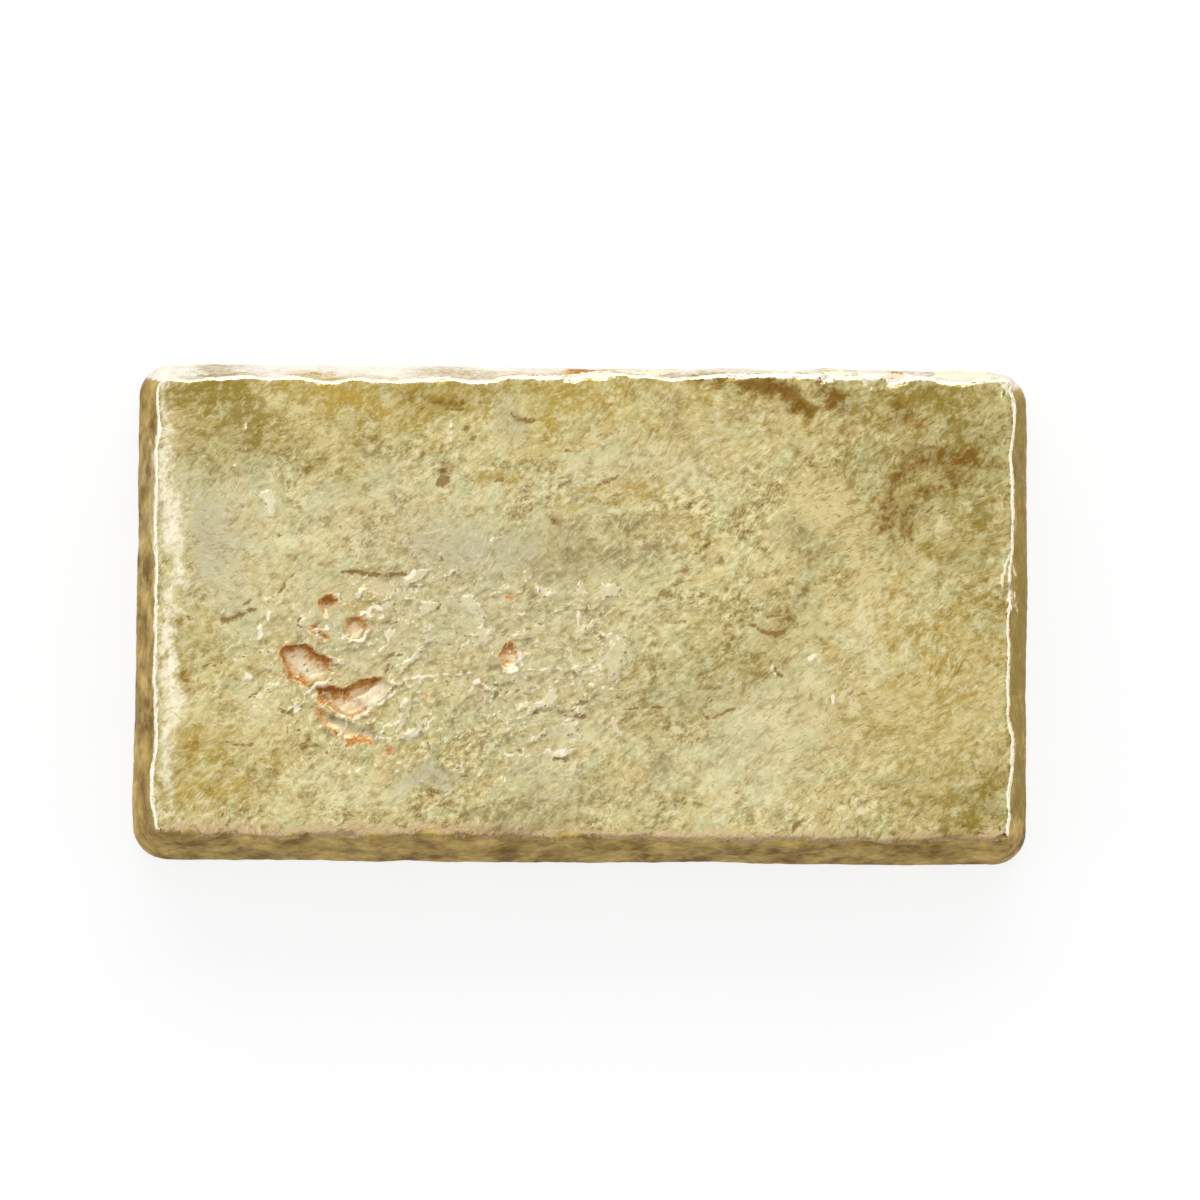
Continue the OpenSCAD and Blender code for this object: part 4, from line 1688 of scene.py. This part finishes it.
    def skin(self, base: Array, layers: Array) -> Array:
        """Height of the cast skin's own unevenness.

        Args:
            base: Places on the smooth block.
            layers: Height of the layers that have lifted.

        Returns:
            Millimetres along the surface's way.
        """
        swell = 0.05 * Grain(21, (13.0, 13.0, 13.0), 2).at(base)
        lumps = 0.04 * Grain(22, (2.6, 2.0, 2.2), 3).at(base)
        weave = 0.022 * Grain(23, (1.4, 0.6, 0.9), 2, 38.0).at(base)
        ridges = np.clip(1.0 - 1.6 * np.abs(Grain(25, (3.0, 2.1, 2.4), 3, 30.0).at(base)), 0.0, 1.0) ** 2
        return swell + lumps + weave + self.roughness(base) * (self.ridge * ridges + layers)

    @staticmethod
    def flaking(base: Array) -> tuple[Array, Array, Array]:
        """Layers of skin that have lifted round the pits.

        Args:
            base: Places on the smooth block.

        Returns:
            Their height, how near each place is to a curled edge, which gets a painted highlight, and how
            near it is to the foot of one, which gets painted shade.
        """
        height = np.zeros(len(base))
        curl = np.zeros(len(base))
        painted_shade = np.zeros(len(base))
        for seed, lump, rise in ((26, (3.4, 2.3, 2.6), 0.055), (27, (1.9, 1.4, 1.6), 0.045)):
            layer = Grain(seed, lump, 3, 25.0).at(base)
            lip = np.exp(-(((layer - 0.07) / 0.06) ** 2))
            height += rise * smooth_step(-0.06, 0.06, layer) + 0.6 * rise * lip
            curl = np.maximum(curl, lip)
            painted_shade = np.maximum(painted_shade, np.exp(-(((layer + 0.09) / 0.055) ** 2)))
        return height, curl, painted_shade

    def roughness(self, base: Array) -> Array:
        """How wrinkled the skin is at each place, most round the pits."""
        near = smooth_step(1.4, 0.6, WRINKLES.reach(base[:, :2]))
        return self.calm + (1.0 - self.calm) * near

    @staticmethod
    def wander(seeds: tuple[int, int], lump: float, octaves: int, base: Array) -> Array:
        """Two noises side by side, which move places in plan.

        Args:
            seeds: Picks the patterns along X and Y.
            lump: Size of the largest lumps.
            octaves: Layers of each noise.
            base: Places on the smooth block.

        Returns:
            A move along X and Y for each place, mostly between -1 and 1.
        """
        return np.column_stack([Grain(seed, (lump, lump, lump), octaves).at(base) for seed in seeds])

    def sculpt(self) -> dict[str, Array]:
        """Presses the relief into the skin.

        Returns:
            The vertex masks that the finish reads, by name.
        """
        base = self.places.copy()
        plan = base[:, :2]
        face = smooth_step(70.0, 15.0, self.tilt)
        foot = smooth_step(120.0, 170.0, self.tilt)
        wall = smooth_step(40.0, 72.0, self.tilt) * (1.0 - foot)

        # Marks keep their place but for a ragged outline, stains drift, and smears fray between the two
        ragged = plan + self.ragged_reach * self.wander((11, 12), 1.3, 3, base)
        drift = ragged + self.drift_reach * self.wander((13, 14), 7.0, 4, base)
        frayed = (2.0 * ragged + drift) / 3.0 + self.fray_reach * self.wander((15, 16), 1.1, 3, base)

        names = [tone.mask for tone in Tone] + [line.mask for line in Line]
        names += ["flake", "pale", "shine", "floor", "rub_and_highlight", "wall", "far", "spill", "brushed"]
        masks = {name: np.zeros(len(base)) for name in names}
        marks = self.press_marks(ragged, masks)
        wrinkled = smooth_step(0.2, 0.9, self.roughness(base))
        layers, curl, painted_shade = self.flaking(base)
        # Painted highlights on the curled edges of the lifted skin, and painted shade at their feet
        np.maximum(masks[Line.GLINT.mask], 0.6 * curl * wrinkled, out=masks[Line.GLINT.mask])
        np.maximum(masks[Line.CRACK.mask], 0.5 * painted_shade * wrinkled, out=masks[Line.CRACK.mask])
        for tone in Tone:
            veils = [stain.veil(drift) for stain in STAINS.get(tone, ())]
            veils += [smear.veil(frayed) for smear in SMEARS.get(tone, ())]
            masks[tone.mask] = 1.0 - np.prod(1.0 - np.array(veils), axis=0)
        push = self.ways * (self.skin(base, layers) + face * marks)[:, None]

        bulge = self.run_out * np.exp(-(RUN_OUT.reach(plan) ** 2)) * smooth_step(8.0, 1.0, base[:, 2])
        wave = self.wall_wave * Grain(41, (9.0, 9.0, 30.0), 3).at(base) * wall
        push[:, :2] += self.outward * ((bulge + wave) * (1.0 - foot))[:, None]
        push *= np.where(self.tilt >= 179.0, self.foot_relief, 1.0)[:, None]
        self.places = base + push
        self.bite_edges(base, ragged, masks)
        self.places[:, 2] = np.maximum(self.places[:, 2], 0.0)

        masks["wall"] = np.clip(wall + foot, 0.0, 1.0)
        masks["brushed"] = smooth_step(6.0, 22.0, plan[:, 0]) * face
        for name, mask in masks.items():
            shown = face if name in ("flake", "floor", Line.CRACK.mask) else 1.0
            masks[name] = np.clip(mask * shown, 0.0, 1.0)
        return masks

    def bite_edges(self, base: Array, ragged: Array, masks: dict[str, Array]) -> None:
        """Nibbles the edges of the face, bites the chips out, rubs the chips bright and paints highlights
        along the edges and down the far wall.

        Args:
            base: Places on the smooth block.
            ragged: The same in plan, made ragged.
            masks: Vertex masks by name, which are filled in.
        """
        plan = base[:, :2]
        inset = self.inset(ragged)
        side = self.nearest_side(plan)
        far = side[:, 1] > 0
        sway = self.edge_sway * (Grain(32, (5.0, 5.0, 5.0), 4).at(base) - (side[:, 0] > 0))
        sway += self.far_shift * far * smooth_step(-12.0, -2.0, plan[:, 0])
        sway = sway * smooth_step(3.0, 0.0, inset) * smooth_step(0.1, 0.8, base[:, 2] / self.height)
        self.places[:, :2] += side * sway[:, None]

        # Chips are placed as they show from above, where the foot of a wall shows further in
        shown = ragged + side * sway[:, None]
        shown = shown + (self.eye[:2] - shown) * (self.height - base[:, 2:]) / self.eye[2]
        nibble = np.clip(Grain(31, (1.6, 1.6, 1.6), 3).at(base), 0.0, 1.0)
        cut = self.nibble_depth * nibble * smooth_step(0.8, 0.0, inset)
        rub_and_highlight = np.zeros(len(base))
        rust = masks[Line.RUST.mask]
        broken = smooth_step(0.25, 0.60, base[:, 2] / self.height)
        for chip in EDGE_CHIPS:
            inside, copper = chip.survey(shown)
            cover = np.clip(0.5 + inside / 0.8, 0.0, 1.0)
            cut = np.maximum(cut, chip.drop * smooth_step(0.3, 0.9, cover))
            np.maximum(rub_and_highlight, chip.rubbed * cover * (1.0 - copper), out=rub_and_highlight)
            np.maximum(rust, cover * copper * broken, out=rust)
        upper = base[:, 2] > self.height / 2
        room = self.relief_room * smooth_step(0.15, 0.0, cut)
        level = np.minimum(self.places[:, 2], self.height - cut + room)
        self.places[:, 2] = np.where(upper, level, self.places[:, 2])

        # Painted highlights along the rolled edge of the face, weakest on the near edge, which faces away
        # from the far lamp
        lit = np.where(side[:, 1] < 0, self.near_highlight, 1.0)
        edge = lit * np.clip(1.1 - np.abs(self.tilt - self.highlight_tilt) / 34.0, 0.0, 1.0)
        # Painted highlight down the far wall
        below = self.far_side_highlight * far * smooth_step(35.0, 60.0, self.tilt)
        masks["rub_and_highlight"] = np.maximum(rub_and_highlight, np.maximum(edge, below))
        ebb = 0.5 * Grain(33, (5.0, 5.0, 5.0), 3).at(base) + 0.5 * smooth_step(-2.0, 8.0, plan[:, 0])
        masks["spill"] = (side[:, 1] < 0) * smooth_step(2.1, -0.2, inset + ebb)
        masks["far"] = smooth_step(0.3, 0.9, self.outward[:, 1]) * smooth_step(-0.2, 0.3, base[:, 2])

    def build(self, name: str) -> bpy.types.Object:
        """Makes the piece.

        Args:
            name: Name of the piece.

        Returns:
            The object, in place and dressed.
        """
        self.lay_mesh()
        flat = self.unwrap()
        masks = self.sculpt()
        mesh = bpy.data.meshes.new(name)
        mesh.from_pydata(self.places * MM, [], self.faces)
        mesh.uv_layers.new(name="OFBake").data.foreach_set("uv", flat.ravel())
        for mask, values in masks.items():
            layer = mesh.attributes.new(mask, "FLOAT", "POINT")
            layer.data.foreach_set("value", values.astype(np.float32))
        mesh.shade_smooth()
        mesh.validate()
        piece = bpy.data.objects.new(name, mesh)
        bpy.context.scene.collection.objects.link(piece)
        mesh.materials.append(CastMetal().material())
        triangles = sum(len(face) - 2 for face in self.faces)
        log.info("%s: %d points, %d triangles", name, len(self.places), triangles)
        return piece


@dataclass(frozen=True)
class Lamp:
    """A soft studio panel, with its place and size in metres.

    Attributes:
        name: The lamp's name.
        place: Where its middle is.
        size: Its width and height.
        glow: Brightness of its surface, where 1 is white.
    """

    name: str
    place: Point
    size: tuple[float, float]
    glow: float

    def hang(self, target: Vector) -> None:
        """Hangs the panel so that it faces a point.

        Args:
            target: The point.
        """
        light = bpy.data.lights.new(self.name, "AREA")
        light.shape = "RECTANGLE"
        light.size, light.size_y = self.size
        light.energy = self.glow * math.pi * self.size[0] * self.size[1]
        lamp = bpy.data.objects.new(self.name, light)
        lamp.location = self.place
        lamp.rotation_euler = (target - Vector(self.place)).to_track_quat("-Z", "Y").to_euler()
        bpy.context.scene.collection.objects.link(lamp)


@dataclass(frozen=True)
class FloorPaper:
    """Matt paper that stays white behind the object and keeps its shadow.

    Attributes:
        grey: How pale it is under the lamps.
        glow: How bright it is by itself.
        share: How much of that glow the camera and reflections get.
    """

    grey: float = 0.86
    glow: float = 1.06
    share: float = 0.75

    def material(self) -> bpy.types.Material:
        """Builds the finish.

        Returns:
            The material.
        """
        tree = FinishTree("floor")
        paper = tree.node("ShaderNodeBsdfDiffuse", {}, {"Color": (self.grey,) * 3})
        glow = tree.node("ShaderNodeEmission", {}, {"Color": (1.0, 1.0, 1.0), "Strength": self.glow})
        seen, mirrored, through = (
            tree.node("ShaderNodeLightPath", {}, {}, f"Is {ray} Ray")
            for ray in ("Camera", "Glossy", "Transmission")
        )
        share = (seen + mirrored + through) * self.share
        return tree.finish(tree.node("ShaderNodeMixShader", {}, {0: share, 1: paper, 2: glow}))


@dataclass
class Studio:
    """Floor, light and camera round the casting, in metres.

    Attributes:
        eye: The camera's place.
        aim: The middle of its picture.
        frame_width: Width of the picture at the aim.
        roll: Degrees that the camera is turned.
        floor_size: Side of the floor.
        sky: Brightness of the even sky.
        lamps: The panels.
    """

    eye: Point = (-0.020, -0.033, 0.600)
    aim: Point = (0.00157, 0.00139, 0.0)
    frame_width: float = 0.1080
    roll: float = 0.5
    floor_size: float = 6.0
    sky: float = 0.45
    lamps: tuple[Lamp, ...] = (
        Lamp("far_panel", (0.0, 0.62, 0.36), (0.9, 0.30), 4.6),
        Lamp("left_panel", (-0.62, 0.05, 0.30), (0.5, 0.18), 2.8),
        Lamp("right_panel", (0.62, 0.05, 0.30), (0.5, 0.18), 2.2),
        Lamp("overhead_panel", (0.0, 0.0, 0.95), (0.7, 0.7), 0.95),
    )

    def floor(self) -> None:
        """Lays the pale floor."""
        half = self.floor_size / 2
        mesh = bpy.data.meshes.new("floor")
        corners = [(-half, -half, 0.0), (half, -half, 0.0), (half, half, 0.0), (-half, half, 0.0)]
        mesh.from_pydata(corners, [], [(0, 1, 2, 3)])
        mesh.materials.append(FloorPaper().material())
        floor = bpy.data.objects.new("floor", mesh)
        bpy.context.scene.collection.objects.link(floor)

    def light(self) -> None:
        """Sets the even sky and hangs the panels."""
        world = bpy.data.worlds.new("studio")
        world.use_nodes = True
        world.node_tree.nodes["Background"].inputs["Color"].default_value = (1.0, 1.0, 1.0, 1.0)
        world.node_tree.nodes["Background"].inputs["Strength"].default_value = self.sky
        bpy.context.scene.world = world
        for lamp in self.lamps:
            lamp.hang(Vector((0.0, 0.0, 0.0)))

    def camera(self) -> None:
        """Sets the camera almost straight above the face."""
        lens = bpy.data.cameras.new("camera")
        eye, aim = Vector(self.eye), Vector(self.aim)
        lens.lens = lens.sensor_width * (aim - eye).length / self.frame_width
        camera = bpy.data.objects.new("camera", lens)
        away = (eye - aim).normalized()
        right = Vector((1.0, 0.0, 0.0))
        right = (right - right.dot(away) * away).normalized()
        upright = Matrix((right, away.cross(right), away)).transposed()
        spin = Matrix.Rotation(math.radians(self.roll), 3, "Z")
        camera.matrix_world = Matrix.Translation(eye) @ (upright @ spin).to_4x4()
        bpy.context.scene.collection.objects.link(camera)
        bpy.context.scene.camera = camera


def main() -> None:
    """Builds the casting and its studio."""
    logging.basicConfig(level=logging.INFO, format="%(name)s %(message)s")
    bpy.context.scene.view_settings.view_transform = "Standard"
    piece = IngotCasting.from_frame("ingot").build("ingot_casting")
    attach(piece, "root")
    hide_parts("ingot")
    studio = Studio()
    studio.floor()
    studio.light()
    studio.camera()
    bpy.context.view_layer.update()


if __name__ == "__main__":
    main()
